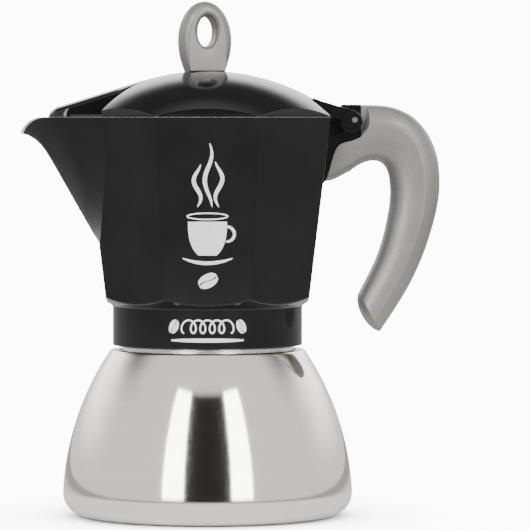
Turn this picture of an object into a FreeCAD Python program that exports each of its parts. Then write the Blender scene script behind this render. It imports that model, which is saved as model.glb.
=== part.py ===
import FreeCAD, Part

import math
import os
import re

import Sketcher

# Stovetop coffee maker: a bell-shaped steel boiler lined with aluminium, an octagonal
# collector that screws onto it, a domed lid with a ring knob, and a hooked side handle.
# The origin is on the boiler's axis at its foot, +Z is up, the spout points to -X and
# the handle to +X.

# ---------------------------------------------------------------- driving dimensions
SIZES = (
    # boiler
    ("foot_flat", 44.2),          # radius of the flat the pot stands on
    ("foot_corner", 8.3),
    ("flank_bend", 100.0),        # one arc makes the bell's whole flank
    ("flank_lean", 3.8),          # how far off vertical the flank starts
    ("flank_top", 34.0),          # and how far it leans where the rolled edge begins
    ("bead_round", 1.8),
    ("steel_wall", 0.8),
    ("liner_wall", 2.0),
    ("liner_shoulder", 30.0),
    ("neck_radius", 31.0),
    ("neck_flare", 58.8),
    ("neck_ring", 61.3),
    ("neck_top", 71.2),
    ("neck_bore", 26.6),
    ("neck_inside", 56.2),
    # screw thread, clear at the crests
    ("pitch", 3.0),
    ("thread_start", 62.4),
    ("thread_height", 6.0),
    ("male_root", 29.6),
    ("male_crest", 30.7),
    ("female_root", 31.9),
    ("female_crest", 30.9),
    # safety valve, square to the flank at the back
    ("valve_angle", 24.0),
    ("valve_hex", 11.0),
    ("valve_head", 6.7),
    ("valve_shank", 6.8),
    ("valve_hole", 3.5),
    ("valve_washer_height", 1.0),
    ("valve_washer_radius", 6.5),
    ("valve_seal_radius", 5.6),
    ("valve_seal_top", 2.0),      # depth of the seal's face under the flank
    ("nut_width", 10.0),
    ("nut_height", 2.2),
    ("vent", 0.5),
    ("play", 0.05),               # between pieces that screw together
    ("valve_chamber", 3.5),
    ("valve_seat", 1.5),
    ("valve_bore", 1.5),
    ("valve_stem", 1.0),
    ("valve_cap_height", 1.2),
    ("valve_disc", 0.8),
    ("spring_wire", 0.25),
    ("spring_radius", 2.1),
    ("spring_turns", 3.5),
    # funnel, strainer, gasket and upper filter
    ("basket_radius", 26.1),
    ("basket_wall", 1.0),
    ("basket_floor", 50.0),
    ("funnel_flange", 29.3),
    ("flange_height", 1.0),
    ("stem_radius", 4.5),
    ("stem_foot", 6.0),
    ("cone_foot", 37.0),
    ("strainer_radius", 25.0),
    ("strainer_height", 0.8),
    ("strainer_hole", 0.8),
    ("strainer_pitch", 4.2),
    ("gasket_outer", 30.5),
    ("gasket_inner", 25.6),
    ("gasket_height", 3.2),
    ("gasket_chamfer", 0.6),
    ("filter_radius", 30.5),
    ("filter_rise", 0.9),
    ("filter_hole", 0.7),
    ("filter_pitch", 3.6),
    ("filter_dish", 24.0),
    ("sheet", 0.8),
    # collector
    ("collar_radius", 34.35),
    ("collar_foot", 61.7),
    ("facet_foot", 76.0),         # height where the facets would meet the collar
    ("facet_low", 36.2),          # half the distance across flats there
    ("rim", 144.2),
    ("facet_high", 44.25),        # and at the rim
    ("scallop_rise", 0.66),
    ("body_wall", 2.5),
    ("chamber_floor", 80.2),
    ("filter_seat", 76.2),
    ("column_foot", 10.0),
    ("column_tip", 6.5),
    ("column_top", 127.0),
    ("column_bore", 3.0),
    ("outlet", 2.0),
    ("outlet_height", 120.0),
    # spout
    ("spout_side_x", 35.7),       # where the spout's sides leave the facets at the rim
    ("spout_side_y", 26.8),
    ("spout_reach", 65.6),
    ("keel_x", 38.7),
    ("keel_z", 97.5),
    ("lip_start", 57.0),
    ("lip_reach", 67.7),
    ("lip_height", 138.3),
    ("lip_bend", 12.65),
    ("beak_half", 2.6),
    ("spout_wall", 2.4),
    # hinge
    ("pin_x", 53.1),
    ("pin_z", 143.2),
    ("pin_radius", 1.0),
    ("pin_half", 8.6),
    ("lug_half", 4.0),
    ("lug_front", 48.2),
    ("lug_back", 55.4),
    ("lug_top", 148.7),
    ("web_top", 138.2),
    ("web_foot", 129.0),
    ("rib_foot", 122.5),          # the rib that carries the web down between the cheeks
    ("rib_front", 45.2),
    ("brace_half", 2.2),          # the thin brace between web, lug and facet
    ("brace_top", 143.3),
    ("knuckle_inner", 4.3),
    ("knuckle_outer", 8.5),
    ("knuckle_radius", 4.15),
    ("knuckle_x", 51.8),
    ("knuckle_z", 142.6),
    # lid
    ("lid_foot", 144.45),
    ("lid_flat", 44.0),
    ("dome_top", 160.9),
    ("dome_bend", 77.5),
    ("lid_wall", 2.3),
    ("lid_hollow", 40.8),
    ("apron_height", 1.8),
    ("apron_tip", 2.5),
    ("arm_root_x", 41.0),
    ("arm_root_top", 149.9),
    ("arm_under_x", 45.1),
    ("arm_under_z", 143.9),
    ("arm_heel_x", 47.75),
    ("arm_heel_z", 143.5),
    ("arm_top_x", 48.0),
    ("arm_top_z", 147.8),
    ("ridge_half", 8.0),
    ("ridge_end", 49.5),
    ("ridge_low", 147.5),
    ("ridge_high", 157.6),
    ("ridge_back", 23.0),
    # knob
    ("knob_x", -1.0),
    ("knob_foot", 161.2),
    ("knob_wide", 172.0),        # height where the knob is widest
    ("knob_radius", 9.8),
    ("knob_foot_radius", 7.0),
    ("knob_lower_bend", 22.0),
    ("knob_side_bend", 18.0),
    ("knob_crown_bend", 7.6),
    ("knob_crown_angle", 37.97),
    ("knob_half", 5.0),
    ("knob_round", 2.0),
    ("knob_twist", 15.0),
    ("knob_eye_z", 175.0),
    ("knob_eye_half", 3.5),
    ("knob_eye_tall", 5.55),
    ("knob_screw", 1.5),
    # handle
    ("handle_half", 9.2),
    ("handle_top", 148.6),
    ("shoulder_x", 62.5),
    ("shoulder_bend", 23.9),
    ("elbow_x", 84.3),
    ("elbow_z", 121.0),
    ("back_bend", 99.2),
    ("tail_x", 62.5),
    ("tail_z", 66.3),
    ("tail_bend", 11.8),
    ("tail_inner_x", 54.5),
    ("tail_inner_z", 77.5),
    ("grip_bend", 73.1),
    ("crook_x", 66.1),
    ("crook_z", 117.0),
    ("crook_bend", 8.2),
    ("crook_top_x", 59.6),
    ("crook_top_z", 128.4),
    ("soffit_x", 50.9),
    ("soffit_z", 124.3),
    ("soffit_bend", 18.6),
    ("root_z", 120.8),
    ("root_under_x", 45.8),
    ("root_under_z", 121.5),
    ("cheek_low_x", 44.7),
    ("cheek_low_z", 126.8),
    ("cheek_side_x", 46.0),
    ("cheek_side_z", 130.4),
    ("cheek_high_x", 48.0),
    ("cheek_high_z", 132.1),
    ("cheek_end_x", 54.1),
    ("cheek_end_z", 133.7),
    ("cheek_back_z", 134.4),
    ("notch_radius", 7.4),
    ("grip_round", 5.5),
    ("handle_screw_x", 49.0),
    ("handle_screw_seat", 126.0),
    ("handle_screw_radius", 2.0),
    ("handle_screw_head", 3.4),
)
NAMES = {name for name, amount in SIZES}

doc = FreeCAD.newDocument("moka_pot")
sheet = doc.addObject("Spreadsheet::Sheet", "Sizes")
for row, (name, amount) in enumerate(SIZES, start=1):
    sheet.set(f"A{row}", name)
    sheet.set(f"B{row}", str(amount))
    sheet.setAlias(f"B{row}", name)
doc.recompute()

PARTS = []
VECTOR = FreeCAD.Vector
Z_AXIS = "V_Axis"


# ---------------------------------------------------------------- helpers
def bound(text):
    """Point every size name in a formula at its cell."""
    return re.sub(r"[a-z_]+", lambda word: word.group() if word.group() not in NAMES
                  else "Sizes." + word.group(), str(text))


def value(text):
    return float(sheet.evalExpression(bound(text)))


def on_circle(centre, radius, angle):
    """The formulas of a point on a circle, with the angle in degrees."""
    return f"{centre[0]} + ({radius}) * cos({angle})", f"{centre[1]} + ({radius}) * sin({angle})"


def new_body(label):
    body = doc.addObject("PartDesign::Body", label)
    body.Label = label
    PARTS.append(body)
    return body


def new_sketch(body, name, plane, offset=None, tilt=None):
    """A sketch on one of the body's own planes, moved off it by formulas when asked."""
    sketch = body.newObject("Sketcher::SketchObject", name)
    origin = next(item for item in body.Origin.OriginFeatures if item.Role == plane + "_Plane")
    sketch.AttachmentSupport = (origin, [""])
    sketch.MapMode = "FlatFace"
    if tilt is not None:
        sketch.AttachmentOffset = FreeCAD.Placement(VECTOR(), FreeCAD.Rotation(VECTOR(1, 0, 0), -45))
        sketch.setExpression(".AttachmentOffset.Rotation.Angle", bound(tilt))
    for axis, formula in (offset or {}).items():
        sketch.setExpression(f".AttachmentOffset.Base.{axis}", bound(formula))
    return sketch


def bind_point(sketch, element, end, across, up):
    for kind, formula, axis in (("DistanceX", across, -2), ("DistanceY", up, -1)):
        length = value(formula)
        if abs(length) < 1e-9:
            sketch.addConstraint(Sketcher.Constraint("PointOnObject", element, end, axis))
            continue
        index = sketch.addConstraint(Sketcher.Constraint(kind, -1, 1, element, end, length))
        sketch.setExpression(f"Constraints[{index}]", bound(formula))


def bind_size(sketch, kind, element, formula):
    index = sketch.addConstraint(Sketcher.Constraint(kind, element, value(formula)))
    sketch.setExpression(f"Constraints[{index}]", bound(formula))


def outline(sketch, steps):
    """A closed outline. A step is the formulas of its end point, and for an arc a radius
    and +1 when it turns left or -1 when it turns right."""
    points = [VECTOR(value(step[0]), value(step[1]), 0) for step in steps]
    ends = []
    for index, step in enumerate(steps):
        start, finish = points[index - 1], points[index]
        if len(step) == 2:
            sketch.addGeometry(Part.LineSegment(start, finish))
            ends.append((1, 2))
            continue
        radius, turn = value(step[2]), step[3]
        chord = finish - start
        rise = math.sqrt(max(radius ** 2 - chord.Length ** 2 / 4, 0))
        left = VECTOR(-chord.y, chord.x, 0).normalize()
        centre = (start + finish) / 2 + left * rise * turn
        angles = [math.atan2(point.y - centre.y, point.x - centre.x) for point in (start, finish)]
        circle = Part.Circle(centre, VECTOR(0, 0, 1), radius)
        sketch.addGeometry(Part.ArcOfCircle(circle, *angles[::turn]))
        ends.append((1, 2) if turn > 0 else (2, 1))
    for index, step in enumerate(steps):
        following = (index + 1) % len(steps)
        sketch.addConstraint(Sketcher.Constraint("Coincident", index, ends[index][1],
                                                 following, ends[following][0]))
        bind_point(sketch, index, ends[index][1], step[0], step[1])
        if len(step) == 4:
            bind_size(sketch, "Radius", index, step[2])
    return sketch


def circle(sketch, across, up, radius):
    place = VECTOR(value(across), value(up), 0)
    index = sketch.addGeometry(Part.Circle(place, VECTOR(0, 0, 1), value(radius)))
    bind_point(sketch, index, 3, across, up)
    bind_size(sketch, "Radius", index, radius)
    return sketch


def feature(body, kind, sketch, **settings):
    """One feature of a body; it must change the body's volume the way its kind says."""
    before = body.Shape.Volume if body.Tip and body.Tip.isDerivedFrom("PartDesign::Feature") else 0
    item = body.newObject("PartDesign::" + kind, sketch.Name + "_" + kind.lower())
    item.Profile = sketch
    for key, setting in settings.items():
        if isinstance(setting, str) and not item.getTypeIdOfProperty(key).endswith("Enumeration"):
            item.setExpression(key, bound(setting))
        else:
            setattr(item, key, setting)
    doc.recompute()
    grows = kind.startswith("Additive") or kind in ("Pad", "Revolution")
    change = body.Shape.Volume - before
    if (change > 0) != grows:
        raise ValueError(f"{item.Name} changed the volume by {change:.3f}")
    return item


def turned(body, sketch, kind="Revolution"):
    return feature(body, kind, sketch, ReferenceAxis=(sketch, [Z_AXIS]), Angle=360)


def both_ways(body, kind, sketch, length):
    return feature(body, kind, sketch, SideType="Symmetric", Length=length)


def polar(body, original, sketch, count):
    pattern = body.newObject("PartDesign::PolarPattern", original.Name + "_ring")
    pattern.Originals = [original]
    pattern.Axis = (sketch, ["N_Axis"])
    pattern.Angle = 360
    pattern.Occurrences = count
    body.Tip = pattern
    doc.recompute()


def rounded(body, name, radius, bends):
    """Round the edges that are arcs of the given bends."""
    wanted = [value(bend) for bend in bends]
    profile = body.Tip
    edges = [f"Edge{index}" for index, edge in enumerate(profile.Shape.Edges, start=1)
             if edge.Curve.TypeId == "Part::GeomCircle"
             and min(abs(edge.Curve.Radius - bend) for bend in wanted) < 0.01]
    fillet = body.newObject("PartDesign::Fillet", name)
    fillet.Base = (profile, edges)
    fillet.setExpression("Radius", bound(radius))
    body.Tip = fillet
    doc.recompute()
    if body.Shape.Volume >= profile.Shape.Volume:
        raise ValueError(f"{name} rounded nothing")


def thread(body, name, base, crest):
    """A helical ridge that stands out from base to crest."""
    low, half = "thread_start", 1 if value(crest) > value(base) else -1
    inset = f"({base}) - {0.2 * half}"
    sketch = outline(new_sketch(body, name, "XZ"), (
        (inset, low), (crest, f"{low} + 0.8"), (crest, f"{low} + 1.4"), (inset, f"{low} + 2.2")))
    return feature(body, "AdditiveHelix", sketch, ReferenceAxis=(sketch, [Z_AXIS]), Mode=0,
                   Pitch="pitch", Height="thread_height", Angle=0)


def octagon(flat):
    """The corners of an octagon with flats across X and Y, from half its width."""
    near = f"({flat}) * tan(22.5)"
    return ((flat, f"-({near})"), (flat, near), (near, flat), (f"-({near})", flat),
            (f"-({flat})", near), (f"-({flat})", f"-({near})"), (f"-({near})", f"-({flat})"),
            (near, f"-({flat})"))


def perforate(body, name, rings, hole, radius_step, depth):
    """Rings of small holes about the axis, six more in each ring than in the last."""
    circle_sketch = circle(new_sketch(body, name + "_centre", "XY"), "0", "0", hole)
    both_ways(body, "Pocket", circle_sketch, depth)
    for ring in range(1, rings + 1):
        sketch = circle(new_sketch(body, f"{name}_{ring}", "XY"), f"{ring} * {radius_step}", "0", hole)
        pocket = both_ways(body, "Pocket", sketch, depth)
        polar(body, pocket, sketch, 6 * ring)


# ---------------------------------------------------------------- boiler
CORNER = ("foot_flat", "foot_corner")
FLANK = ("(foot_flat + (foot_corner - flank_bend) * cos(flank_lean))",
         "(foot_corner + (foot_corner - flank_bend) * sin(flank_lean))")
BEAD = (f"({FLANK[0]} + (flank_bend - bead_round) * cos(flank_top))",
        f"({FLANK[1]} + (flank_bend - bead_round) * sin(flank_top))")


def bell(inset, turn):
    """The bell's outline at a depth under its surface, upward or downward."""
    arcs = [
        ((CORNER[0], inset), "foot_corner"),
        (on_circle(CORNER, f"foot_corner - {inset}", "flank_lean"), "foot_corner"),
        (on_circle(FLANK, f"flank_bend - {inset}", "flank_top"), "flank_bend"),
        (on_circle(BEAD, f"bead_round - {inset}", "180"), "bead_round"),
    ]
    if turn > 0:
        return [arcs[0][0]] + [(*point, f"{radius} - {inset}", 1) for point, radius in arcs[1:]]
    points = [point for point, radius in arcs][::-1]
    radii = [radius for point, radius in arcs[1:]][::-1]
    return [points[0]] + [(*point, f"{radius} - {inset}", -1)
                          for point, radius in zip(points[1:], radii)]


def valve_hole(body):
    """The cross hole for the valve, through the flank at the back."""
    place = on_circle(FLANK, "flank_bend", "valve_angle")
    sketch = new_sketch(body, body.Name + "_valve_hole", "XY", {"y": place[0], "z": place[1]},
                        "valve_angle - 90")
    circle(sketch, "0", "0", "valve_hole")
    both_ways(body, "Pocket", sketch, "14")


def boiler_shell():
    body = new_body("boiler_shell")
    turned(body, outline(new_sketch(body, "shell_profile", "XZ"),
                         [("0", "0")] + bell("0", 1) + bell("steel_wall", -1) + [("0", "steel_wall")]))
    valve_hole(body)


def boiler_liner():
    body = new_body("boiler_liner")
    inner = "(steel_wall + liner_wall)"
    profile = [("0", "steel_wall")] + bell("steel_wall", 1) + [
        (f"{BEAD[0]} - bead_round", BEAD[1]),
        ("neck_radius", "neck_flare"),
        ("neck_radius", "neck_ring"),
        ("male_root", "neck_ring"),
        ("male_root", "neck_top"),
        ("neck_bore", "neck_top"),
        ("neck_bore", "neck_inside"),
        on_circle(FLANK, f"flank_bend - {inner}", "liner_shoulder"),
        (*on_circle(FLANK, f"flank_bend - {inner}", "flank_lean"), f"flank_bend - {inner}", -1),
        ("foot_flat", inner, f"foot_corner - {inner}", -1),
        ("0", inner)]
    turned(body, outline(new_sketch(body, "liner_profile", "XZ"), profile))
    thread(body, "neck_thread", "male_root", "male_crest")
    valve_hole(body)


# ---------------------------------------------------------------- safety valve
def on_valve(item):
    """Stand a piece on the valve's axis, its +Z pointing out of the boiler."""
    place = on_circle(FLANK, "flank_bend", "valve_angle")
    item.Placement = FreeCAD.Placement(VECTOR(), FreeCAD.Rotation(VECTOR(1, 0, 0), -45))
    item.setExpression(".Placement.Rotation.Angle", bound("valve_angle - 90"))
    item.setExpression(".Placement.Base.y", bound(place[0]))
    item.setExpression(".Placement.Base.z", bound(place[1]))


def hexagon(width):
    side = f"({width}) / cos(30) / 2"
    return tuple((f"{side} * cos({angle})", f"{side} * sin({angle})") for angle in range(0, 360, 60))


def valve_body():
    body = new_body("valve_body")
    foot = {"z": "valve_washer_height"}
    sketch = outline(new_sketch(body, "valve_hexagon", "XY", foot), hexagon("valve_hex"))
    feature(body, "Pad", sketch, Length="valve_head - valve_washer_height")
    turned(body, outline(new_sketch(body, "valve_shank_profile", "XZ"), (
        ("0", "-valve_shank"), ("valve_hole - play", "-valve_shank"),
        ("valve_hole - play", "valve_washer_height + 1"), ("0", "valve_washer_height + 1"))))
    turned(body, outline(new_sketch(body, "valve_chamber_profile", "XZ"), (
        ("0", "-valve_shank - 1"), ("valve_bore", "-valve_shank - 1"), ("valve_bore", "valve_seat"),
        ("valve_chamber", "valve_seat"), ("valve_chamber", "valve_head + 1"),
        ("0", "valve_head + 1"))), "Groove")
    turned(body, outline(new_sketch(body, "valve_top_chamfer", "XZ"), (
        ("valve_hex / 2 - 0.4", "valve_head + 0.1"), ("valve_hex", "valve_head + 0.1"),
        ("valve_hex", "valve_head - 3"))), "Groove")
    on_valve(body)


def valve_cap():
    body = new_body("valve_cap")
    turned(body, outline(new_sketch(body, "valve_cap_profile", "XZ"), (
        ("valve_stem + 0.15", "valve_head - valve_cap_height"),
        ("valve_chamber", "valve_head - valve_cap_height"), ("valve_chamber", "valve_head - 0.2"),
        ("valve_stem + 0.15", "valve_head - 0.2"))))
    vent = circle(new_sketch(body, "valve_vent", "XY"), "(valve_chamber + valve_stem) / 2 + 0.1",
                  "0", "vent")
    polar(body, feature(body, "Pocket", vent, SideType="Symmetric", Length="4 * valve_head"), vent, 6)
    on_valve(body)


def valve_plunger():
    body = new_body("valve_plunger")
    turned(body, outline(new_sketch(body, "plunger_profile", "XZ"), (
        ("0", "valve_seat"), ("valve_chamber - 0.5", "valve_seat"),
        ("valve_chamber - 0.5", "valve_seat + valve_disc"), ("valve_stem", "valve_seat + valve_disc"),
        ("valve_stem", "valve_head + 0.8"), ("0", "valve_head + 1.1"))))
    on_valve(body)


def valve_spring():
    body = new_body("valve_spring")
    foot = "(valve_seat + valve_disc + spring_wire)"
    length = f"(valve_head - valve_cap_height - spring_wire - {foot})"
    sketch = circle(new_sketch(body, "spring_section", "XZ"), "spring_radius", foot, "spring_wire")
    feature(body, "AdditiveHelix", sketch, ReferenceAxis=(sketch, [Z_AXIS]), Mode=0,
            Pitch=f"{length} / spring_turns", Height=length, Angle=0)
    on_valve(body)


def bell_form(label, inset):
    """A solid of the bell's flank at a depth under its surface, to shape the washers against."""
    body = doc.addObject("PartDesign::Body", label)
    shoulder = on_circle(FLANK, f"flank_bend - {inset}", "liner_shoulder")
    turned(body, outline(new_sketch(body, label + "_profile", "XZ"), (
        ("0", inset), ("foot_flat", inset),
        (*on_circle(CORNER, f"foot_corner - {inset}", "flank_lean"), f"foot_corner - {inset}", 1),
        (*shoulder, f"flank_bend - {inset}", 1), ("0", shoulder[1]))))
    return body


def valve_ring(label, low, high, outer, form, keep):
    """A flat ring whose other face follows the flank: outside it, or inside it."""
    ring = doc.addObject("PartDesign::Body", label + "_blank")
    turned(ring, outline(new_sketch(ring, label + "_profile", "XZ"), (
        ("valve_hole", low), (outer, low), (outer, high), ("valve_hole", high))))
    on_valve(ring)
    item = doc.addObject("Part::" + keep, label)
    item.Label = label
    item.Base, item.Tool = ring, form
    PARTS.append(item)


def valve_nut():
    body = new_body("valve_nut")
    top = "(valve_shank - 0.5)"
    sketch = outline(new_sketch(body, "nut_hexagon", "XY", {"z": f"-{top}"}), hexagon("nut_width"))
    feature(body, "Pad", sketch, Length="nut_height")
    hole = circle(new_sketch(body, "nut_hole", "XY"), "0", "0", "valve_hole - play")
    both_ways(body, "Pocket", hole, "4 * valve_shank")
    on_valve(body)


# ---------------------------------------------------------------- funnel, filter and gasket
def funnel():
    body = new_body("funnel")
    inner = "(basket_radius - basket_wall)"
    step = "(strainer_radius - 1.2)"
    turned(body, outline(new_sketch(body, "funnel_profile", "XZ"), (
        ("funnel_flange", "neck_top"), ("funnel_flange", "neck_top + flange_height"),
        (inner, "neck_top + flange_height"), (inner, "basket_floor"), (step, "basket_floor"),
        (step, "basket_floor - 1"), ("stem_radius - basket_wall", "cone_foot"),
        ("stem_radius - basket_wall", "stem_foot"), ("stem_radius", "stem_foot"),
        ("stem_radius", "cone_foot - 0.6"), ("basket_radius", "basket_floor - 2"),
        ("basket_radius", "neck_top"))))
    notch = outline(new_sketch(body, "stem_notch", "XZ"), (
        ("-2", "stem_foot - 1"), ("2", "stem_foot - 1"), ("0", "stem_foot + 4")))
    both_ways(body, "Pocket", notch, "4 * stem_radius")


def funnel_strainer():
    body = new_body("funnel_strainer")
    turned(body, outline(new_sketch(body, "strainer_profile", "XZ"), (
        ("0", "basket_floor"), ("strainer_radius", "basket_floor"),
        ("strainer_radius", "basket_floor + strainer_height"),
        ("0", "basket_floor + strainer_height"))))
    perforate(body, "strainer_holes", 5, "strainer_hole", "strainer_pitch", "4 * basket_floor")


def gasket():
    body = new_body("gasket")
    foot = "(neck_top + flange_height)"
    turned(body, outline(new_sketch(body, "gasket_profile", "XZ"), (
        ("gasket_inner", foot), ("gasket_outer - gasket_chamfer", foot),
        ("gasket_outer", f"{foot} + gasket_chamfer"),
        ("gasket_outer", f"{foot} + gasket_height - gasket_chamfer"),
        ("gasket_outer - gasket_chamfer", f"{foot} + gasket_height"),
        ("gasket_inner", f"{foot} + gasket_height"))))


def filter_plate():
    body = new_body("filter_plate")
    foot = "(filter_seat - sheet)"
    turned(body, outline(new_sketch(body, "filter_profile", "XZ"), (
        ("0", f"{foot} - filter_rise"), ("filter_dish", f"{foot} - filter_rise"),
        ("filter_dish + 1", foot), ("filter_radius", foot), ("filter_radius", "filter_seat"),
        ("filter_dish + 0.6", "filter_seat"), ("filter_dish - 0.4", "filter_seat - filter_rise"),
        ("0", "filter_seat - filter_rise"))))
    perforate(body, "filter_holes", 6, "filter_hole", "filter_pitch", "4 * filter_seat")


# ---------------------------------------------------------------- collector
def facet(height):
    """Half the distance across the collector's flats at a height."""
    return f"(facet_low + (facet_high - facet_low) * ({height} - facet_foot) / (rim - facet_foot))"


def lofted(body, name, kind, low, high, shape):
    """A loft between two sketches of one shape at two heights."""
    sketches = [outline(new_sketch(body, f"{name}_{index}", "XY", {"z": height}), shape(height))
                for index, height in enumerate((low, high))]
    return feature(body, kind, sketches[0], Sections=[sketches[1]], Ruled=True)


def spout_wedge(inset):
    """The spout's level section: a triangle that grows from the foot of its keel."""
    side_x, side_y = f"(spout_side_x - {inset})", f"(spout_side_y - 1.6 * {inset})"
    reach, foot = f"(spout_reach - 1.9 * {inset})", f"(keel_x - {inset})"
    start = f"(keel_z + 2.6 * {inset})"

    def section(height):
        part = f"(({height} - {start}) / (rim - {start}))"
        return ((f"-({foot} + (({side_x}) - {foot}) * {part})", f"{side_y} * {part}"),
                (f"-({foot} + (({reach}) - {foot}) * {part})", "0"),
                (f"-({foot} + (({side_x}) - {foot}) * {part})", f"-{side_y} * {part}"))
    return start, section


def collector():
    body = new_body("collector")
    lofted(body, "facets", "AdditiveLoft", "facet_foot", "rim", lambda height: octagon(facet(height)))
    scallop = outline(new_sketch(body, "scallop", "XZ"), (
        ("collar_radius", "facet_foot - 1"), ("collar_radius", "facet_foot"),
        ("collar_radius + 20", "facet_foot + 20 * scallop_rise"),
        ("collar_radius + 20", "facet_foot - 1")))
    turned(body, scallop, "Groove")
    turned(body, outline(new_sketch(body, "collar", "XZ"), (
        ("0", "collar_foot"), ("collar_radius", "collar_foot"), ("collar_radius", "facet_foot + 0.4"),
        ("0", "facet_foot + 0.4"))))
    start, section = spout_wedge("0")
    lofted(body, "spout", "AdditiveLoft", f"{start} + 0.6", "rim", section)
    both_ways(body, "Pocket", outline(new_sketch(body, "lip", "XZ"), (
        ("-lip_start", "rim"), ("-lip_reach", "lip_height", "lip_bend", 1),
        ("-lip_reach - 5", "lip_height"), ("-lip_reach - 5", "rim + 3"),
        ("-lip_start", "rim + 3"))), "40")
    both_ways(body, "Pad", outline(new_sketch(body, "beak", "XZ"), (
        ("-lip_start", "rim"), ("-lip_reach", "lip_height", "lip_bend", 1),
        ("-lip_reach + 3.2", "lip_height - 1"), ("-lip_reach + 5.7", "lip_height - 2.4"),
        ("-lip_reach + 8.3", "lip_height - 5.3"), ("-lip_reach + 11", "lip_height - 9.5"),
        ("-lip_start + 7", "lip_height - 9.5"), ("-lip_start + 7", "rim"))), "2 * beak_half")
    inside = "body_wall"
    lofted(body, "chamber", "SubtractiveLoft", "chamber_floor", "rim",
           lambda height: octagon(f"({facet(height)} - {inside})"))
    turned(body, outline(new_sketch(body, "column", "XZ"), (
        ("0", "chamber_floor - 1"), ("column_foot", "chamber_floor - 1"),
        ("column_foot", "chamber_floor"), ("column_tip + 1.4", "chamber_floor + 14"),
        ("column_tip", "column_top - 3"), ("column_tip - 3", "column_top"), ("0", "column_top"))))
    start, section = spout_wedge("spout_wall")
    lofted(body, "channel", "SubtractiveLoft", f"{start} + 1", "rim", section)
    turned(body, outline(new_sketch(body, "underside", "XZ"), (
        ("0", "collar_foot - 1"), ("female_root", "collar_foot - 1"), ("female_root", "filter_seat"),
        ("26", "filter_seat"), ("26", "filter_seat + 0.5"), ("column_bore", "filter_seat + 1.9"),
        ("column_bore", "outlet_height"), ("0", "outlet_height + 2"))), "Groove")
    thread(body, "collar_thread", "female_root", "female_crest")
    outlets = circle(new_sketch(body, "outlets", "XZ"), "0", "outlet_height - 1", "outlet")
    both_ways(body, "Pocket", outlets, "4 * column_foot")
    both_ways(body, "Pad", outline(new_sketch(body, "hinge_lug", "XZ"), (
        (facet("rib_foot") + " - 1", "rib_foot"), ("rib_front", "rib_foot"),
        ("rib_front", "web_foot"), ("lug_back", "web_foot"), ("lug_back", "lug_top"),
        ("lug_front", "lug_top"), ("lug_front", "web_top"), (facet("web_top") + " - 1", "web_top"))),
        "2 * lug_half")
    both_ways(body, "Pad", outline(new_sketch(body, "hinge_brace", "XZ"), (
        (facet("web_top") + " - 1", "web_top - 1"), ("lug_front + 1", "web_top - 1"),
        ("lug_front + 1", "brace_top"), (facet("web_top") + " - 1", "brace_top"))), "2 * brace_half")
    pin = circle(new_sketch(body, "pin_hole", "XZ"), "pin_x", "pin_z", "pin_radius")
    both_ways(body, "Pocket", pin, "4 * lug_half")
    hole = circle(new_sketch(body, "screw_hole", "XY", {"z": "web_foot - 1"}), "handle_screw_x", "0",
                  "handle_screw_radius")
    feature(body, "Pocket", hole, Length="9", Reversed=True)


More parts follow.
